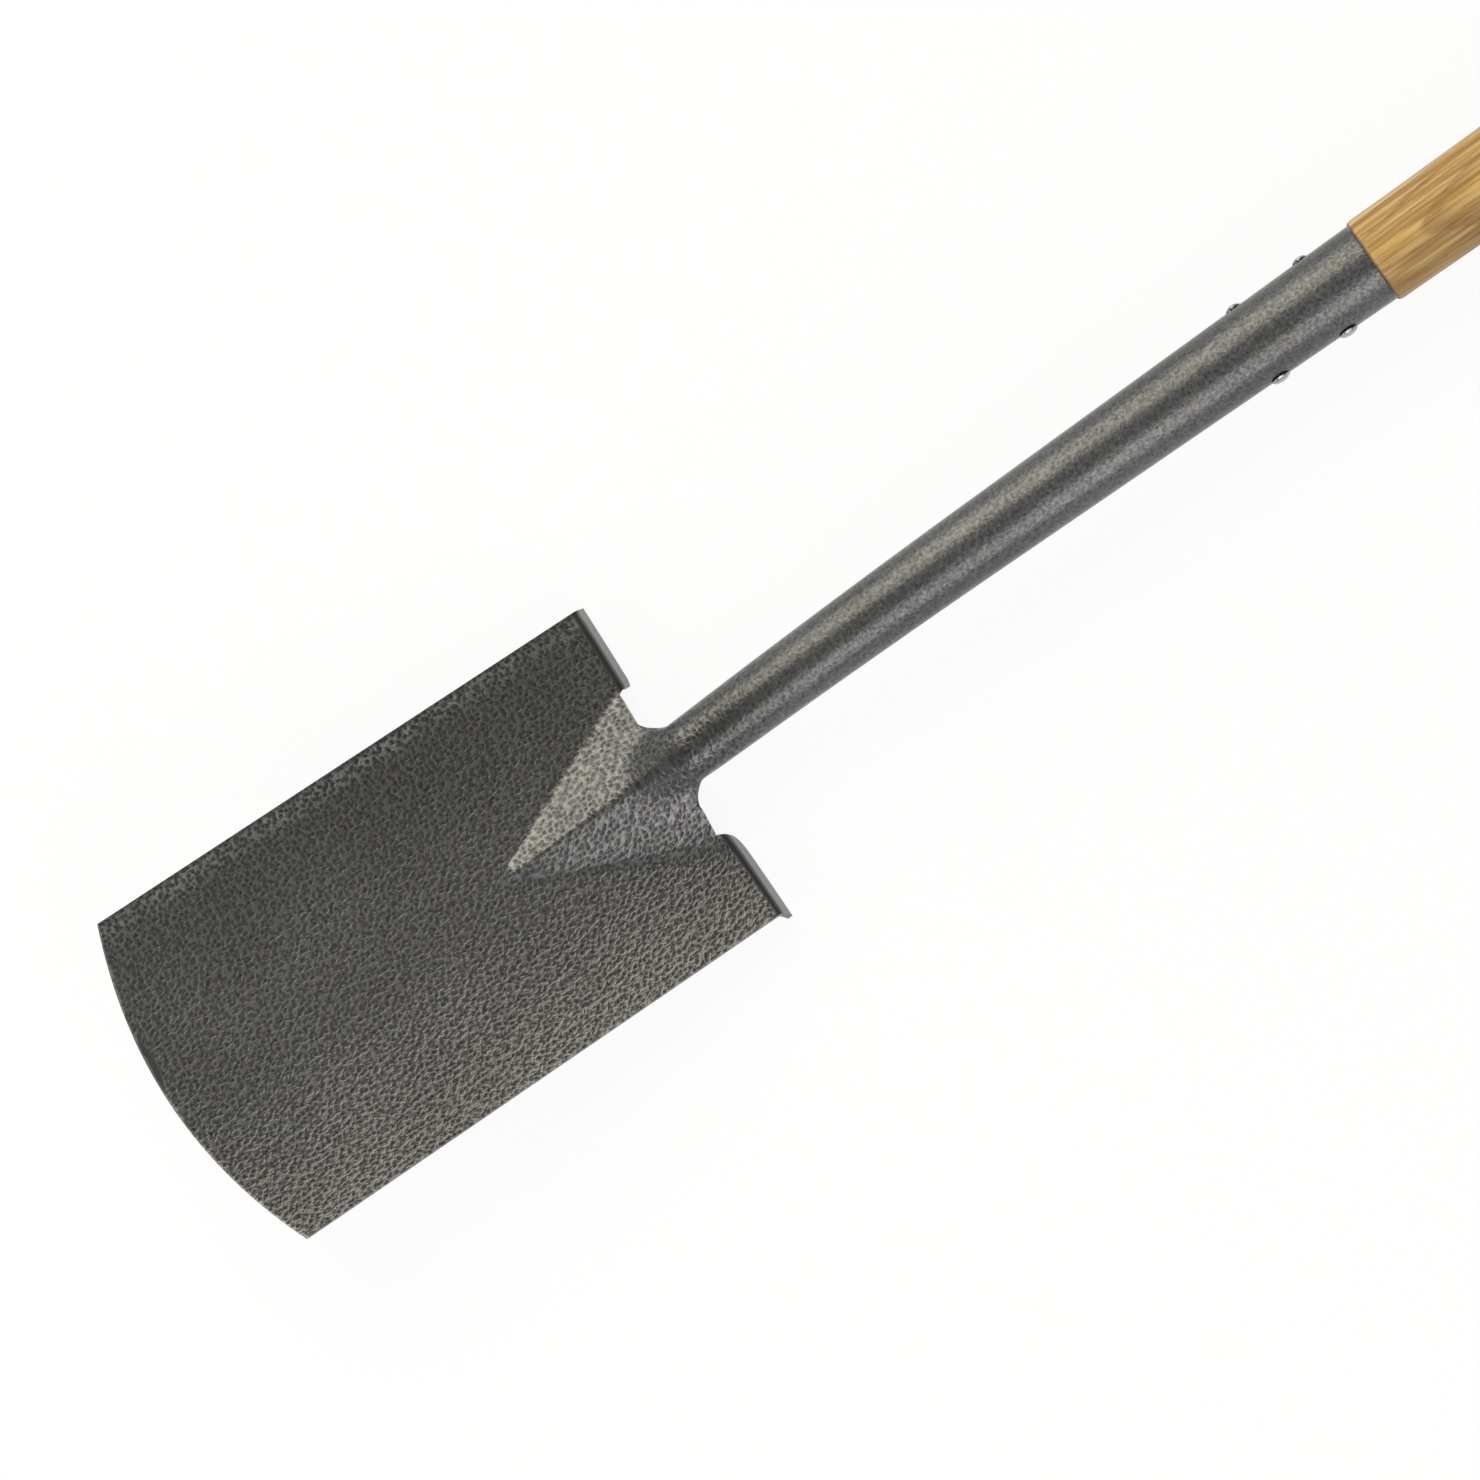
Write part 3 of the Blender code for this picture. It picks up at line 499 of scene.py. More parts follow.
def tread_rows(side):
    """Rows of one tread, from the blade round the fold to the rear edge, in the order inner to outer.

    The left tread starts a little farther out, lies askew and has the sharper corner. The right one starts
    a little nearer to the neck.
    """
    corner, setback, skew, extra = TREAD_CORNER_RIGHT, -TREAD_ADVANCE_RIGHT, 0.0, REACH_COLUMNS
    if side > 0:
        corner, setback, skew, extra = TREAD_CORNER_LEFT, TREAD_SETBACK_LEFT, TREAD_SKEW_LEFT, 0
    columns = OUTER_COLUMNS + extra
    reach = extra * (TREAD_INNER_END - NECK_SPREAD) / FLANGE_COLUMNS
    fold_start = BLADE_LENGTH + FOLD_ADVANCE - FOLD_RADIUS * math.tan(TREAD_FOLD / 2)
    arc = FOLD_RADIUS * TREAD_FOLD
    flat = (TREAD_DEPTH - FOLD_RADIUS * (1.0 - math.cos(TREAD_FOLD))) / math.sin(TREAD_FOLD)
    corner = min(corner, flat - 2 * RIM_ROUND)
    corner_start = arc + flat - corner
    runs = [arc * share for share in shares(FOLD_STEPS)]
    runs += [corner_start + corner * math.sin(turn) for turn in quarter_turn(CORNER_STEPS)]
    blade_edge = half_width(fold_start)
    rows = []
    for run in runs:
        bend = min(run, arc) / FOLD_RADIUS
        beyond = max(run - arc, 0.0)
        ahead = FOLD_RADIUS * math.sin(bend) + beyond * math.cos(TREAD_FOLD)
        drop = FOLD_RADIUS * (1.0 - math.cos(bend)) + beyond * math.sin(TREAD_FOLD)
        past = max(run - corner_start, 0.0)
        inner = TREAD_INNER_END + mix(-reach, setback, min(run / arc, 1.0))
        inner += corner - math.sqrt(max(corner ** 2 - past ** 2, 0.0))
        outer = blade_edge + TREAD_FLARE * (run / (arc + flat)) ** TREAD_FLARE_POWER
        row = []
        for share in shares(columns):
            y = mix(inner, outer, share)
            rise = shoulder_rise(min(y, blade_edge), fold_start, side)
            x = fold_start + ahead - (rise - tread_chord(y, fold_start)) / math.tan(TREAD_FOLD)
            x -= skew * (blade_edge - y) / (blade_edge - TREAD_INNER_END)
            fill = crease_fill(SHOULDER_X, Vector((SHOULDER_X, side * y, rise)))
            row.append(Vector((x, side * y, rise - drop + fill * max(1.0 - run / arc, 0.0))))
        rows.append(row)
    return rows


def add_grid(mesh, rows):
    """Joins rows of vertices with four-sided faces, or three-sided ones where two corners are the same."""
    for low, high in zip(rows, rows[1:]):
        for column in range(len(low) - 1):
            corners = (low[column], low[column + 1], high[column + 1], high[column])
            mesh.faces.new(list(dict.fromkeys(corners)))


def bridge(mesh, rings):
    """Joins closed rings of the same size."""
    add_grid(mesh, [ring + ring[:1] for ring in rings])


def skin_row(mesh, points, along=None):
    """A row of vertices that know their place on the unrolled skin: along the spade, and across it.

    The blade's also know how far they are from its left edge.
    """
    lengths = [0.0]
    for start, end in zip(points, points[1:]):
        lengths.append(lengths[-1] + (end - start).length)
    row = []
    for point, length in zip(points, lengths):
        vertex = mesh.verts.new(point)
        place, inward = (point.x, length) if along is None else (along, OFF_THE_BLADE)
        vertex[mesh.verts.layers.float_vector["skin"]] = (place, length - lengths[len(points) // 2], inward)
        row.append(vertex)
    return row


def tread_sheet(mesh, shoulder, rows):
    """Joins a tread to its stretch of the shoulder. Its paint is smooth from the start of the fold."""
    skin = mesh.verts.layers.float_vector["skin"]
    smooth = mesh.verts.layers.float["smooth"]
    made = [shoulder]
    for number, row in enumerate(rows):
        line = []
        for behind, point in zip(made[-1], row):
            vertex = mesh.verts.new(point)
            vertex[skin] = behind[skin] + Vector(((vertex.co - behind.co).length, 0.0, 0.0))
            vertex[smooth] = min(number, 1)
            line.append(vertex)
        made.append(line)
    add_grid(mesh, made)


def head_sheet():
    """The head's outer surface as one open sheet: blade, treads and rolled socket."""
    mesh = bmesh.new()
    mesh.verts.layers.float_vector.new("skin")
    mesh.verts.layers.float.new("smooth")
    blade = [skin_row(mesh, row) for row in blade_rows()]
    add_grid(mesh, blade)
    shoulder = blade[-1]
    side_columns = FLANGE_COLUMNS + OUTER_COLUMNS
    neck = shoulder[side_columns:len(shoulder) - side_columns]
    add_grid(mesh, [neck] + [skin_row(mesh, row, x) for x, row in socket_rows()])
    tread_sheet(mesh, shoulder[:OUTER_COLUMNS + 1], [row[::-1] for row in tread_rows(1)])
    tread_sheet(mesh, shoulder[len(shoulder) - OUTER_COLUMNS - REACH_COLUMNS - 1:], tread_rows(-1))
    return mesh


RIM_MIDDLE = Vector((SOCKET_END, 0.0, socket_height(SOCKET_END)))


def lying_matrix():
    """Where the head's frame lies, read from two rods that cross the shaft's axis."""
    throat = sum(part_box("throat_rivet"), Vector()) / 2
    grip = sum(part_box("grip_rod"), Vector()) / 2
    along = (grip - throat).normalized()
    tilt = SOCKET_ANGLE + math.atan2(-along.z, along.x)
    rim = throat - along * THROAT_RIVET_DISTANCE
    turn = Matrix.Rotation(tilt, 4, "Y")
    return Matrix.Translation(rim - turn @ RIM_MIDDLE) @ turn


LYING = lying_matrix()
SHAFT_AXIS = LYING @ Matrix.Translation(RIM_MIDDLE) @ Matrix.Rotation(-SOCKET_ANGLE, 4, "Y")


def along_shaft(distance):
    """A frame whose origin is on the shaft's axis and whose Y is the spade's width."""
    return SHAFT_AXIS @ Matrix.Translation((distance, 0.0, 0.0))


def add_to_scene(name, data):
    item = bpy.data.objects.new(name, data)
    bpy.context.scene.collection.objects.link(item)
    return item


def new_object(name, mesh, place, material):
    """A smooth object at the world's origin, whose mesh is laid on the ground with its frame."""
    mesh.transform(place)
    data = bpy.data.meshes.new(name)
    mesh.to_mesh(data)
    mesh.free()
    data.shade_smooth()
    data.set_sharp_from_angle(angle=SHARP_ANGLE)
    data.materials.append(material)
    return add_to_scene(name, data)


def settle(item):
    """Puts the mesh that an object's modifiers make in place of the object's own."""
    graph = bpy.context.evaluated_depsgraph_get()
    mesh = bpy.data.meshes.new_from_object(item.evaluated_get(graph), preserve_all_data_layers=True,
                                           depsgraph=graph)
    item.modifiers.clear()
    item.data = mesh


def stand_for(piece, node):
    """The piece moves with the spade and is seen in place of a solid of the frame."""
    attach(piece, "root")
    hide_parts(node)


def cut(item, cutter):
    """Takes a cutter's volume out of an object and removes the cutter."""
    modifier = item.modifiers.new(cutter.name, "BOOLEAN")
    modifier.operation = "DIFFERENCE"
    modifier.solver = "EXACT"
    modifier.object = cutter
    settle(item)
    bpy.data.objects.remove(cutter)


def tenon_radius(along):
    """Radius of the tenon at a distance from the rim, which follows the socket's taper."""
    x = SOCKET_END + along * math.cos(SOCKET_ANGLE)
    return socket_radius(x) - SHEET - FIT


def fork_spread(share):
    """Distance of an arm's middle from the shaft's axis, from the fork's root to its full width."""
    return mix(ARM_HALF_THICKNESS, GRIP_LENGTH / 2 + ARM_HALF_THICKNESS, smooth_step(share))


def fork_heading(share):
    """Angle of an arm's middle line to the shaft's axis, from the slope of the spread's smooth step."""
    return math.atan2(GRIP_LENGTH / 2 * 6.0 * share * (1.0 - share), FORK_LENGTH)


def fork_height(share):
    return mix(SHAFT_RADIUS, ARM_HALF_HEIGHT, smooth_step(share))


def rounded(angle, half_across, half_up, squareness):
    """Point on a superellipse."""
    across = abs(math.cos(angle)) ** (2 / squareness) * math.copysign(half_across, math.cos(angle))
    up = abs(math.sin(angle)) ** (2 / squareness) * math.copysign(half_up, math.sin(angle))
    return across, up


def wood_vertex(mesh, place, grain):
    """A vertex that knows where it would lie in the straight grown wood: along, across and up."""
    vertex = mesh.verts.new(place)
    vertex[mesh.verts.layers.float_vector["grain"]] = grain
    return vertex


def full_ring(mesh, along, half_across, half_up, squareness=ROUND_SQUARENESS):
    """A closed ring about the shaft's axis. Its first point is below the axis, and it turns to the left."""
    count = 2 * (OUTER_ARM_POINTS - 1)
    straight = min(2 * ARM_HALF_THICKNESS / half_across, 1.0) if along > FORK_START else 1.0
    ring = []
    for step in range(count):
        across, up = rounded(2 * math.pi * step / count - math.pi / 2, half_across, half_up, squareness)
        ring.append(wood_vertex(mesh, (along, across, up), (along, across * straight, up)))
    return ring


def arm_ring(mesh, centre, heading, scale, side, half_up, path):
    """A closed ring about an arm's middle, from below, round its outer side, to above, and back inside."""
    ring = []
    outer = [math.pi * (share - 0.5) for share in shares(OUTER_ARM_POINTS - 1)]
    inner = [math.pi * (share + 0.5) for share in shares(INNER_ARM_POINTS + 1, 1)[:-1]]
    for angle in outer + inner:
        across, up = rounded(angle, ARM_HALF_THICKNESS * scale, half_up * scale, ARM_SQUARENESS)
        place = (centre.x - math.sin(heading) * across, side * (centre.y + math.cos(heading) * across), up)
        ring.append(wood_vertex(mesh, place, (path, side * (ARM_HALF_THICKNESS + across), up)))
    return ring


def arm(mesh, root, side):
    """One arm of the wishbone, from the split to its rounded end."""
    rings = [root]
    start = SPLIT_SHARE + SPLIT_BLEND_SHARE
    path = FORK_START + FORK_LENGTH * start
    for share in shares(ARM_STEPS):
        share = mix(start, 1.0, share)
        centre = Vector((FORK_START + FORK_LENGTH * share, fork_spread(share), 0.0))
        rings.append(arm_ring(mesh, centre, fork_heading(share), 1.0, side, fork_height(share), path))
        path += FORK_LENGTH * (1.0 - start) / ARM_STEPS / math.cos(fork_heading(share))
    for angle in np.linspace(0.0, ARM_TIP_ANGLE, ARM_TIP_STEPS + 1):
        ahead = GRIP_DISTANCE + ARM_END_ALLOWANCE - ARM_HALF_THICKNESS * (1.0 - math.sin(angle))
        centre = Vector((ahead, fork_spread(1.0), 0.0))
        scale = math.cos(angle) ** ARM_TIP_FULLNESS
        tip_path = path + ahead - FORK_START - FORK_LENGTH
        rings.append(arm_ring(mesh, centre, 0.0, scale, side, ARM_HALF_HEIGHT, tip_path))
    bridge(mesh, rings)
    mesh.faces.new(rings[-1])


def shaft_stops():
    """Stations of the round shaft as distance from the rim and radius, up to the fork."""
    stops = [(-TENON_LENGTH, tenon_radius(-TENON_LENGTH) - TENON_CHAMFER / 2)]
    stops += [(along, tenon_radius(along)) for along in (TENON_CHAMFER - TENON_LENGTH, RIM_GAP)]
    for angle in quarter_turn(SHAFT_ROUND_STEPS):
        along = RIM_GAP + SHOULDER_ROUND * (1.0 - math.cos(angle))
        stops.append((along, mix(RIM_RADIUS, SHAFT_START_RADIUS, math.sin(angle))))
    for share in shares(SHAFT_SWELL_STEPS, 1):
        radius = mix(SHAFT_START_RADIUS, SHAFT_RADIUS, smooth_step(share))
        stops.append((SHAFT_SWELL_LENGTH * share, radius))
    return stops + [(mix(SHAFT_SWELL_LENGTH, FORK_START, share), SHAFT_RADIUS)
                    for share in shares(SHAFT_STEPS, 1)]


def shaft_mesh():
    """The shaft as one body: tapered tenon, swelling shaft, and two arms beyond the split."""
    mesh = bmesh.new()
    mesh.verts.layers.float_vector.new("grain")
    rings = [full_ring(mesh, along, radius, radius) for along, radius in shaft_stops()]
    for step in shares(FORK_STEPS, 1):
        share = SPLIT_SHARE * step
        heading = fork_heading(share)
        half_across = fork_spread(share) + ARM_HALF_THICKNESS * math.cos(heading)
        along = FORK_START + FORK_LENGTH * share - ARM_HALF_THICKNESS * math.sin(heading)
        square = mix(ROUND_SQUARENESS, SPLIT_SQUARENESS, step)
        rings.append(full_ring(mesh, along, half_across, fork_height(share), square))
    mesh.faces.new(rings[0])
    bridge(mesh, rings)
    last = rings[-1]
    top = OUTER_ARM_POINTS - 1
    crotch = []
    for step in range(INNER_ARM_POINTS):
        angle = math.pi * (step + 1) / (INNER_ARM_POINTS + 1)
        height = fork_height(SPLIT_SHARE) * math.cos(angle)
        along = FORK_START + FORK_LENGTH * (SPLIT_SHARE + CROTCH_HOLLOW_SHARE * math.sin(angle))
        crotch.append(wood_vertex(mesh, (along, 0.0, height), (along, 0.0, height)))
    arm(mesh, last[:top + 1] + crotch, 1)
    arm(mesh, [last[0]] + last[:top - 1:-1] + crotch, -1)
    bmesh.ops.recalc_face_normals(mesh, faces=mesh.faces)
    return mesh


def lathe(profile):
    """A solid of revolution about the Y axis, from (radius, position) points, from the high end down."""
    mesh = bmesh.new()
    turns = [2 * math.pi * step / TURNED_STEPS for step in range(TURNED_STEPS)]
    rings = []
    for radius, position in profile:
        ring = [mesh.verts.new((radius * math.cos(turn), position, radius * math.sin(turn)))
                for turn in (turns if radius > 0.0 else turns[:1])]
        rings.append(ring * (TURNED_STEPS // len(ring)))
    if profile[0][0] > 0.0:
        rings.append(rings[0])
    bridge(mesh, rings)
    bmesh.ops.recalc_face_normals(mesh, faces=mesh.faces)
    return mesh


def dome(radius, height, base):
    """Points of a domed head from its top at the axis to its edge, above a base."""
    sphere = (radius ** 2 + height ** 2) / (2 * height)
    reach = math.asin(min(radius / sphere, 1.0))
    turns = [reach * share for share in shares(DOME_STEPS)]
    return [(sphere * math.sin(turn), base + height - sphere * (1.0 - math.cos(turn))) for turn in turns]


def button(radius, height, base):
    """Points of a rivet's head from its top to its edge: nearly flat above, with a steep flank."""
    return [(radius * share, base + height * (1.0 - share ** BUTTON_FLATNESS) ** BUTTON_FLANK)
            for share in map(math.sin, quarter_turn(DOME_STEPS))]


def mirrored(half):
    """A profile from the high end to the middle, continued down to the same low end."""
    return half + [(across, -along) for across, along in half[::-1]]


def domed_rod(radius, head_radius, head_height, seat, shape=dome):
    """Profile of a rod with a domed head on each end. The head's edge is a short upright band."""
    top = shape(head_radius, head_height - HEAD_BAND, seat + HEAD_BAND)
    band = [(head_radius, seat + EDGE_BREAK), (head_radius - EDGE_BREAK, seat)]
    return mirrored(top + band + [(radius, seat)])


def washer_profile(bore, low, high):
    """Profile of a washer with broken outer edges."""
    face = WASHER_RADIUS - EDGE_BREAK
    return [(bore, high), (face, high), (WASHER_RADIUS, high - EDGE_BREAK),
            (WASHER_RADIUS, low + EDGE_BREAK), (face, low), (bore, low)]


def grip_profile():
    """Profile of the turned grip: a swelling body with rounded ends, and the bore of its rod."""
    half = GRIP_LENGTH / 2 - FIT
    hole = GRIP_ROD_RADIUS + FIT
    inner = half - GRIP_EDGE_ROUND
    arc = []
    for angle in quarter_turn(GRIP_ROUND_STEPS):
        radius = GRIP_END_RADIUS - GRIP_EDGE_ROUND * (1.0 - math.sin(angle))
        arc.append((radius, inner + GRIP_EDGE_ROUND * math.cos(angle)))
    body = []
    for share in shares(GRIP_STEPS, 1)[:-1]:
        place = mix(inner, -inner, share)
        body.append((mix(GRIP_END_RADIUS, GRIP_MIDDLE_RADIUS, 1.0 - (place / inner) ** 2), place))
    low = [(radius, -place) for radius, place in arc[::-1]]
    return [(hole, half)] + arc + body + low + [(hole, -half)]


class Graph:
    """A small helper that adds shader nodes to a material or a world and joins them."""

    def __init__(self, name, owners=bpy.data.materials):
        self.owner = owners.new(name)
        self.owner.use_nodes = True
        self.tree = self.owner.node_tree

    def add(self, kind, settings=None, **inputs):
        """Adds a node. An input is named with _ for a space, or i and its number."""
        node = self.tree.nodes.new(kind)
        for key, value in (settings or {}).items():
            setattr(node, key, value)
        for key, value in inputs.items():
            self.plug(node, key, value)
        return node

    def plug(self, node, key, value):
        name = key.replace("_", " ")
        socket = node.inputs[name] if name in node.inputs else node.inputs[int(key.strip("i"))]
        if isinstance(value, bpy.types.NodeSocket):
            self.tree.links.new(value, socket)
        else:
            socket.default_value = value

    def object_place(self):
        return self.add("ShaderNodeTexCoord").outputs["Object"]

    def attribute(self, name, output):
        return self.add("ShaderNodeAttribute", {"attribute_name": name}).outputs[output]

    def split(self, vector):
        return self.add("ShaderNodeSeparateXYZ", i0=vector).outputs

    def math(self, operation, first, second=0.0, third=0.0):
        node = self.add("ShaderNodeMath", {"operation": operation}, i0=first, i1=second, i2=third)
        return node.outputs[0]

    def minus(self, first, second):
        return self.math("SUBTRACT", first, second)

    def times(self, first, second):
        return self.math("MULTIPLY", first, second)

    def times_plus(self, first, second, third):
        return self.math("MULTIPLY_ADD", first, second, third)

    def between(self, start, end, share):
        return self.times_plus(self.minus(end, start), share, start)

    def shaded(self, colour, shade):
        return self.add("ShaderNodeVectorMath", {"operation": "SCALE"}, i0=colour, Scale=shade).outputs[0]

    def strayed(self, place, stray, amounts):
        """A place moved by another vector, with an amount for each axis."""
        node = self.add("ShaderNodeVectorMath", {"operation": "MULTIPLY_ADD"}, i0=stray, i1=amounts, i2=place)
        return node.outputs[0]

    def blend(self, share, first, second):
        node = self.add("ShaderNodeMix", {"data_type": "RGBA"}, i0=share, i6=first, i7=second)
        return node.outputs[2]

    def lift(self, value, low, high, start=0.0, end=1.0):
        """Maps a value smoothly from low..high to start..end."""
        node = self.add("ShaderNodeMapRange", {"interpolation_type": "SMOOTHSTEP"}, Value=value,
                        From_Min=low, From_Max=high, To_Min=start, To_Max=end)
        return node.outputs[0]

    def colours(self, share, stops):
        """Maps a value through (place, colour) stops."""
        node = self.add("ShaderNodeValToRGB", Fac=share)
        points = node.color_ramp.elements
        while len(points) < len(stops):
            points.new(0.5)
        for point, (place, colour) in zip(points, stops):
            point.position = place
            point.color = (*colour, 1.0)
        return node.outputs[0]

    def noise(self, vector, scale, detail=2.0, roughness=0.5, output="Fac"):
        node = self.add("ShaderNodeTexNoise", Vector=vector, Scale=scale, Detail=detail, Roughness=roughness)
        return node.outputs[output]

    def streaks(self, grain, along, across, *settings, **output):
        """Noise that is drawn out along the grain."""
        stretched = self.add("ShaderNodeMapping", Vector=grain, Scale=(along, across, across)).outputs[0]
        return self.noise(stretched, 1.0, *settings, **output)

    def bump(self, height, distance, strength=1.0):
        node = self.add("ShaderNodeBump", Strength=strength, Distance=distance, Height=height)
        return node.outputs[0]

    def finish(self, **inputs):
        for key, value in inputs.items():
            self.plug(self.tree.nodes["Principled BSDF"], key, value)
        return self.owner


def hammered_net(graph, skin):
    """Level of the flake: a net of bright walls and loops, with a dark pit in each cell."""
    stray = graph.noise(skin, PIT_STRAY_SCALE, output="Color")
    moved = graph.strayed(skin, stray, (PIT_STRAY, PIT_STRAY, 0.0))
    cells = graph.add("ShaderNodeTexVoronoi", {"voronoi_dimensions": "2D", "feature": "SMOOTH_F1"},
                      Vector=moved, Scale=1.0 / PIT_SPACING, Smoothness=0.4, Randomness=0.9)
    waves = graph.noise(moved, 1.0 / PIT_SPACING, 1.0)
    loops = graph.lift(graph.math("ABSOLUTE", graph.minus(waves, 0.5)), 0.20, 0.0)
    walls = graph.lift(cells.outputs["Distance"], 0.05, 0.66, 0.0, 1.0 - LOOP_SHARE)
    return graph.times_plus(loops, LOOP_SHARE, walls)


def tip_masks(graph, place):
    """Two masks at the cutting edge: a long lens where the paint is level and darker, and the rubbed edge
    itself.
    """
    own = graph.add("ShaderNodeMapping", {"vector_type": "TEXTURE"}, Vector=place,
                    Location=LYING.translation, Rotation=LYING.to_euler()).outputs[0]
    split = graph.split(own)
    across = graph.math("DIVIDE", graph.minus(split["Y"], PATCH_MIDDLE), PATCH_HALF_LENGTH)
    lens = graph.minus(1.0, graph.times(across, across))
    bow = graph.times(split["Y"], split["Y"])
    edge = graph.times_plus(bow, TIP_BOW / (TIP_WIDTH / 2) ** 2, -TIP_BOW)
    back = graph.minus(split["X"], edge)
    reach = graph.minus(graph.times(lens, PATCH_DEPTH), back)
    ragged = graph.times_plus(graph.noise(place, RUBBED_SCALE, 4.0, 0.7), -RUBBED_DEPTH, back)
    return graph.lift(reach, 0.0, 0.0008), graph.lift(ragged, -0.0004, -0.0010, 0.0, RUBBED_SHARE)


def painted_left_highlights(graph, place, inward, net):
    """Painted highlights: the flake's colour brightened in a patchy strip along the blade's left edge."""
    edge = graph.times(graph.lift(inward, 0.0007, 0.0020), graph.lift(inward, 0.0110, 0.0025))
    patchy = graph.lift(graph.noise(place, PAINTED_GLINT_SCALE, 3.0), 0.34, 0.62, 0.35, 1.0)
    return graph.times(graph.times(edge, patchy), graph.lift(net, 0.35, 0.95))


def hammered_paint():
    """Grey hammered paint: a net of metal flake around small dark pits, which stands out in relief.

    It is level on the treads and in the dark tip patch, and a finer grit takes its place along the socket.
    """
    graph = Graph("hammered_paint")
    place = graph.object_place()
    skin = graph.attribute("skin", "Vector")
    along, across, inward = graph.split(skin)
    smooth = graph.attribute("smooth", "Fac")
    tip_patch, rubbed = tip_masks(graph, place)
    level = graph.times_plus(tip_patch, -PATCH_DARKENING, graph.times_plus(smooth, -TREAD_DARKENING, 1.0))
    rough = graph.minus(1.0, graph.math("MAXIMUM", smooth, tip_patch))
    even = graph.between(level, hammered_net(graph, skin), rough)
    grit = graph.lift(graph.noise(place, GRIT_SCALE, 4.0, 0.65), 0.36, 0.64, GRIT_DARK, GRIT_LIGHT)
    net = graph.between(even, grit, graph.lift(along, CALM_FROM, CALM_TO, 0.0, CALM_SHARE))
    drift = graph.lift(graph.noise(place, DRIFT_SCALE), 0.3, 0.7, 0.92, 1.06)
    # Painted highlights along the left edge, added to a tone that drifts at random
    shade = graph.math("ADD", painted_left_highlights(graph, place, inward, net), drift)
    colour = graph.shaded(graph.colours(net, PAINT_COLOURS), shade)
    depth = graph.times(graph.lift(across, RELIEF_FROM, RELIEF_TO, RELIEF_LEFT, RELIEF_RIGHT),
                        graph.lift(along, CALM_FROM, CALM_TO, 1.0, CALM_RELIEF))
    height = graph.times_plus(net, depth, graph.times(graph.noise(place, FINE_SCALE), FINE_RELIEF))
    return graph.finish(Base_Color=graph.blend(rubbed, colour, RUBBED_COLOUR), Metallic=0.80,
                        Roughness=graph.lift(net, 0.0, 1.0, 0.33, 0.24),
                        Normal=graph.bump(height, RELIEF_HEIGHT))


def ash_wood():
    """Golden lacquered ash. Its grain follows the split arms, for it is read from each vertex."""
    graph = Graph("ash_wood")
    grain = graph.attribute("grain", "Vector")
    stray = graph.streaks(grain, *STRAY_NOISE, output="Color")
    split = graph.split(graph.strayed(grain, stray, (0.0, GRAIN_STRAY, GRAIN_STRAY)))
    side, deep = [graph.times_plus(split["X"], -drift, graph.minus(split[axis], start))
                  for axis, start, drift in PITH]
    radius = graph.math("SQRT", graph.times_plus(side, side, graph.times(deep, deep)))
    ring = graph.math("FRACT", graph.math("DIVIDE", radius, RING_SPACING))
    early = graph.times(graph.lift(ring, 0.0, 0.08), graph.lift(ring, 0.50, 0.10))
    short = graph.times(graph.streaks(grain, *SHORT_NOISE), 1.0 - LONG_SHARE)
    streaks = graph.times_plus(graph.streaks(grain, *LONG_NOISE), LONG_SHARE, short)
    flecks = graph.lift(graph.streaks(grain, *PORE_NOISE), 0.58, 0.66)
    porous = graph.times(flecks, graph.times_plus(early, 0.7, 0.3))
    # Broad tone at random, times painted shade that darkens the shaft's right side
    shade = graph.times(graph.lift(graph.streaks(grain, *BROAD_NOISE), 0.3, 0.7, 0.91, 1.07),
                        graph.lift(split["Y"], -0.014, 0.004, RIGHT_SIDE_PAINTED_SHADE, 1.0))
    toned = graph.shaded(graph.colours(graph.lift(streaks, 0.37, 0.63), WOOD_COLOURS), shade)
    lined = graph.blend(graph.times(early, 0.55), toned, EARLY_COLOUR)
    dotted = graph.blend(graph.times(porous, 0.7), lined, PORE_COLOUR)
    start = graph.split(grain)["X"]
    # Darker on the wood's shoulder where it meets the socket's rim
    rim_band = graph.times(graph.lift(start, -0.0010, 0.0), graph.lift(start, 0.0016, 0.0005, 0.0, 0.85))
    height = graph.minus(graph.times(streaks, 0.35), porous)
    return graph.finish(Base_Color=graph.blend(rim_band, dotted, RIM_BAND_COLOUR),
                        Roughness=graph.lift(streaks, 0.3, 0.7, 0.50, 0.38),
                        Normal=graph.bump(height, WOOD_RELIEF, 0.5), Specular_IOR_Level=0.30,
                        Coat_Weight=0.08, Coat_Roughness=0.35)


def bright_steel():
    """Plain steel with fine turning marks and a few duller spots."""
    graph = Graph("bright_steel")
    place = graph.object_place()
    marks = graph.noise(place, 1400.0, 3.0)
    colour = graph.blend(graph.noise(place, 260.0), *STEEL_COLOURS)
    return graph.finish(Base_Color=colour, Metallic=1.0, Roughness=graph.lift(marks, 0.3, 0.7, 0.24, 0.42),
                        Normal=graph.bump(marks, 0.00002, 0.4))


def rivet_paint():
    """The same paint on the rivets, rubbed smooth and shiny by hands and soil."""
    graph = Graph("rivet_paint")
    marks = graph.noise(graph.object_place(), 700.0)
    colour = graph.blend(graph.lift(marks, 0.35, 0.65), *RIVET_COLOURS)
    return graph.finish(Base_Color=colour, Metallic=0.90, Roughness=graph.lift(marks, 0.3, 0.7, 0.26, 0.16),
                        Normal=graph.bump(marks, 0.00008, 0.5))


def painted_head(material):
    """The pressed head: one sheet with its thickness and rounded rim."""
    head = new_object("painted_head", head_sheet(), LYING, material)
    shell = head.modifiers.new("thickness", "SOLIDIFY")
    shell.thickness = SHEET
    shell.offset = -1.0
    shell.use_even_offset = True
    bevel = head.modifiers.new("rounded_rim", "BEVEL")
    bevel.width = RIM_ROUND
    bevel.segments = RIM_SEGMENTS
    bevel.limit_method = "ANGLE"
    bevel.angle_limit = RIM_ANGLE
    head.modifiers.new("even_shading", "WEIGHTED_NORMAL").keep_sharp = True
    settle(head)
    stand_for(head, "spade_head")


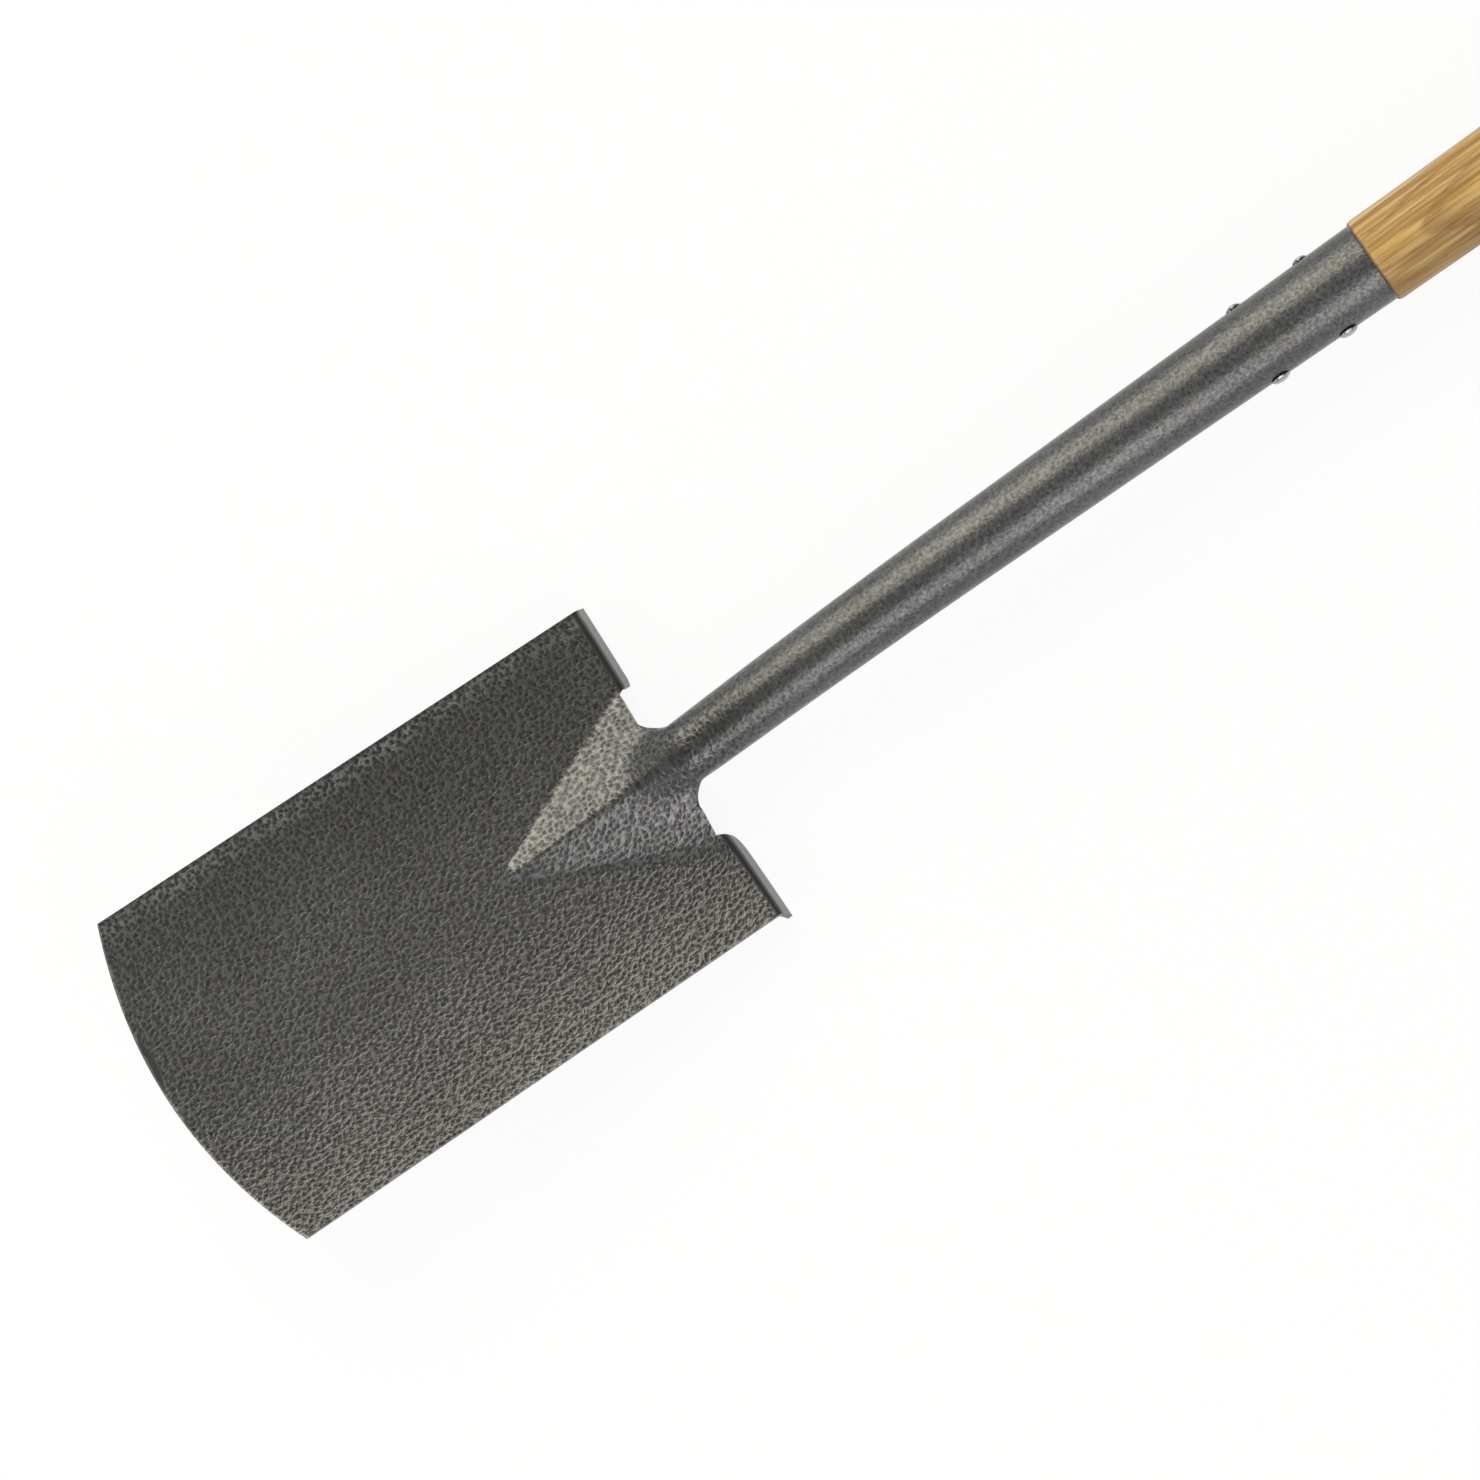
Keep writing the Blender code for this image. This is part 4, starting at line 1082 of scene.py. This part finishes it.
def wooden_shaft(material):
    """The ash shaft with its wishbone, and a flat seat under each washer."""
    shaft = new_object("ash_shaft", shaft_mesh(), SHAFT_AXIS, material)
    wide = WASHER_RADIUS + FIT
    for name, _, radius, seat, along in RODS:
        profile = mirrored([(0.0, SPOT_CUTTER_REACH), (wide, SPOT_CUTTER_REACH), (wide, seat),
                            (radius + FIT, seat)])
        cut(shaft, new_object(name + "_seats", lathe(profile), along_shaft(along), material))
    stand_for(shaft, "shaft")


def grip_bar(material):
    mesh = lathe(grip_profile())
    layer = mesh.verts.layers.float_vector.new("grain")
    for vertex in mesh.verts:
        vertex[layer] = (vertex.co.y + GRIP_DISTANCE, vertex.co.x + GRIP_LENGTH, vertex.co.z)
    grip = new_object("turned_grip", mesh, along_shaft(GRIP_DISTANCE), material)
    stand_for(grip, "grip_bar")


def socket_rivet(place, which, material):
    """A through rivet with a small head on the left and a wide one on the right, seated on the socket."""
    along = -(RIVET_FROM_RIM + RIVET_SPACING * which)
    seat = socket_radius(SOCKET_END + along * math.cos(SOCKET_ANGLE))
    small, wide = [domed_rod(RIVET_ROD_RADIUS, radius, RIVET_HEAD_HEIGHT - FIT, seat, button)
                   for radius in (SMALL_HEAD_RADIUS, WIDE_HEAD_RADIUS)]
    mesh = lathe(small[:len(small) // 2] + wide[len(wide) // 2:])
    for vertex in mesh.verts:
        if abs(vertex.co.y) >= seat:
            drop = seat - math.sqrt((seat + FIT) ** 2 - vertex.co.z ** 2)
            vertex.co.y -= math.copysign(drop, vertex.co.y)
    rivet = new_object(f"rivet_{place}", mesh, along_shaft(along), material)
    stand_for(rivet, f"socket_rivet_{place}")


def fastened_pair(name, washer_name, rod_radius, seat, along, material):
    """A rod with domed heads on two washers."""
    place = along_shaft(along)
    outer = seat + FIT + WASHER_THICKNESS
    profile = domed_rod(rod_radius, ROD_HEAD_RADIUS, ROD_HEAD_HEIGHT, outer + FIT)
    stand_for(new_object(f"{name}_steel", lathe(profile), place, material), name)
    for side, word in ((1, "left"), (-1, "right")):
        low, high = sorted((side * (seat + FIT), side * outer))
        washer = new_object(f"{washer_name}_{word}_steel", lathe(washer_profile(rod_radius + FIT, low, high)),
                            place, material)
        stand_for(washer, f"{washer_name}_{word}")


def add_panel(name, across, tip_tilt, handle_tilt, spread, radiance, colour):
    """A soft light seen from the head under an angle from Z towards Y, between two tilts along X."""
    middle_tilt = (handle_tilt + tip_tilt) / 2
    way = Vector((math.sin(middle_tilt), math.sin(across) * math.cos(middle_tilt),
                  math.cos(across) * math.cos(middle_tilt)))
    lamp = bpy.data.lights.new(name, "AREA")
    lamp.shape = "RECTANGLE"
    lamp.size = 2 * PANEL_DISTANCE * math.tan((handle_tilt - tip_tilt) / 2)
    lamp.size_y = 2 * PANEL_DISTANCE * math.tan(spread / 2)
    lamp.energy = radiance * math.pi * lamp.size * lamp.size_y
    lamp.color = colour
    item = add_to_scene(name, lamp)
    side = Vector((0.0, math.cos(across), -math.sin(across)))
    length = side.cross(way).normalized()
    turn = Matrix((length, way.cross(length), way)).transposed().to_4x4()
    item.matrix_world = LYING @ (Matrix.Translation(Vector(LIT_MIDDLE) + way * PANEL_DISTANCE) @ turn)
    item.visible_camera = False


def add_lights():
    """Two long panels beside the spade, a thin strip low on its left and a low panel past the tip."""
    for name, across, tip_tilt, handle_tilt, spread, radiance, colour in PANELS:
        angles = map(math.radians, (across, tip_tilt, handle_tilt, spread))
        add_panel(name, *angles, radiance, colour)


def add_world():
    """A studio that is dim past both ends of the spade, lighter overhead and grey on the spade's left."""
    graph = Graph("studio", bpy.data.worlds)
    bpy.context.scene.world = graph.owner
    way = graph.split(graph.add("ShaderNodeTexCoord").outputs["Generated"])
    handle_end, tip_end, left = [graph.lift(way[axis], *levels) for axis, *levels in WORLD_LEVELS]
    level = graph.math("MAXIMUM", graph.math("MINIMUM", handle_end, tip_end), left)
    graph.plug(graph.tree.nodes["Background"], "Color", level)


def add_floor():
    """A white floor that keeps a soft shadow and is seen a little greyer in mirrors.

    What it throws on the spade is the light of a grey one.
    """
    bpy.ops.mesh.primitive_plane_add(size=FLOOR_SIZE, location=(0.0, 0.0, -FLOOR_DROP))
    floor = bpy.context.object
    floor.name = "floor"
    graph = Graph("floor")
    path = graph.add("ShaderNodeLightPath").outputs
    mirrored_ray = graph.math("MAXIMUM", path["Is Glossy Ray"], path["Is Transmission Ray"])
    seen = graph.math("MAXIMUM", path["Is Camera Ray"], graph.times(mirrored_ray, FLOOR_IN_MIRRORS))
    share = graph.lift(seen, 0.0, 1.0, FLOOR_GLOW_HIDDEN, FLOOR_GLOW_SEEN)
    plain = graph.add("ShaderNodeBsdfDiffuse", Color=graph.blend(seen, *FLOOR_COLOURS)).outputs[0]
    glow = graph.add("ShaderNodeEmission", Color=(1.0, 1.0, 1.0, 1.0)).outputs[0]
    both = graph.add("ShaderNodeMixShader", i0=share, i1=plain, i2=glow).outputs[0]
    graph.tree.nodes.remove(graph.tree.nodes["Principled BSDF"])
    graph.plug(graph.tree.nodes["Material Output"], "Surface", both)
    floor.data.materials.append(graph.owner)


def add_camera():
    """The camera stands over the front face and is turned so that the shaft runs to the upper right."""
    view = Vector((math.sin(CAMERA_PITCH), math.sin(CAMERA_ROLL), 0.0))
    view.z = math.sqrt(1.0 - view.x ** 2 - view.y ** 2)
    along = (Vector((1.0, 0.0, 0.0)) - view * view.x).normalized()
    across = view.cross(along)
    right = math.cos(CAMERA_TURN) * along - math.sin(CAMERA_TURN) * across
    up = math.sin(CAMERA_TURN) * along + math.cos(CAMERA_TURN) * across
    place = Matrix((right, up, view)).transposed().to_4x4()
    place.translation = Vector(CAMERA_TARGET) + CAMERA_DISTANCE * view
    data = bpy.data.cameras.new("camera")
    data.lens = CAMERA_LENS
    data.sensor_width = CAMERA_SENSOR
    data.clip_end = CAMERA_REACH
    camera = add_to_scene("camera", data)
    camera.matrix_world = LYING @ place
    bpy.context.scene.camera = camera


def dress():
    """Every piece of the spade in its own material."""
    paint = hammered_paint()
    wood = ash_wood()
    steel = bright_steel()
    worn_paint = rivet_paint()
    painted_head(paint)
    wooden_shaft(wood)
    grip_bar(wood)
    for which, place in enumerate(("upper", "lower")):
        socket_rivet(place, which, worn_paint)
    for rod in RODS:
        fastened_pair(*rod, steel)


add_camera()
add_world()
add_floor()
add_lights()
dress()
bpy.context.scene.view_settings.view_transform = "Standard"
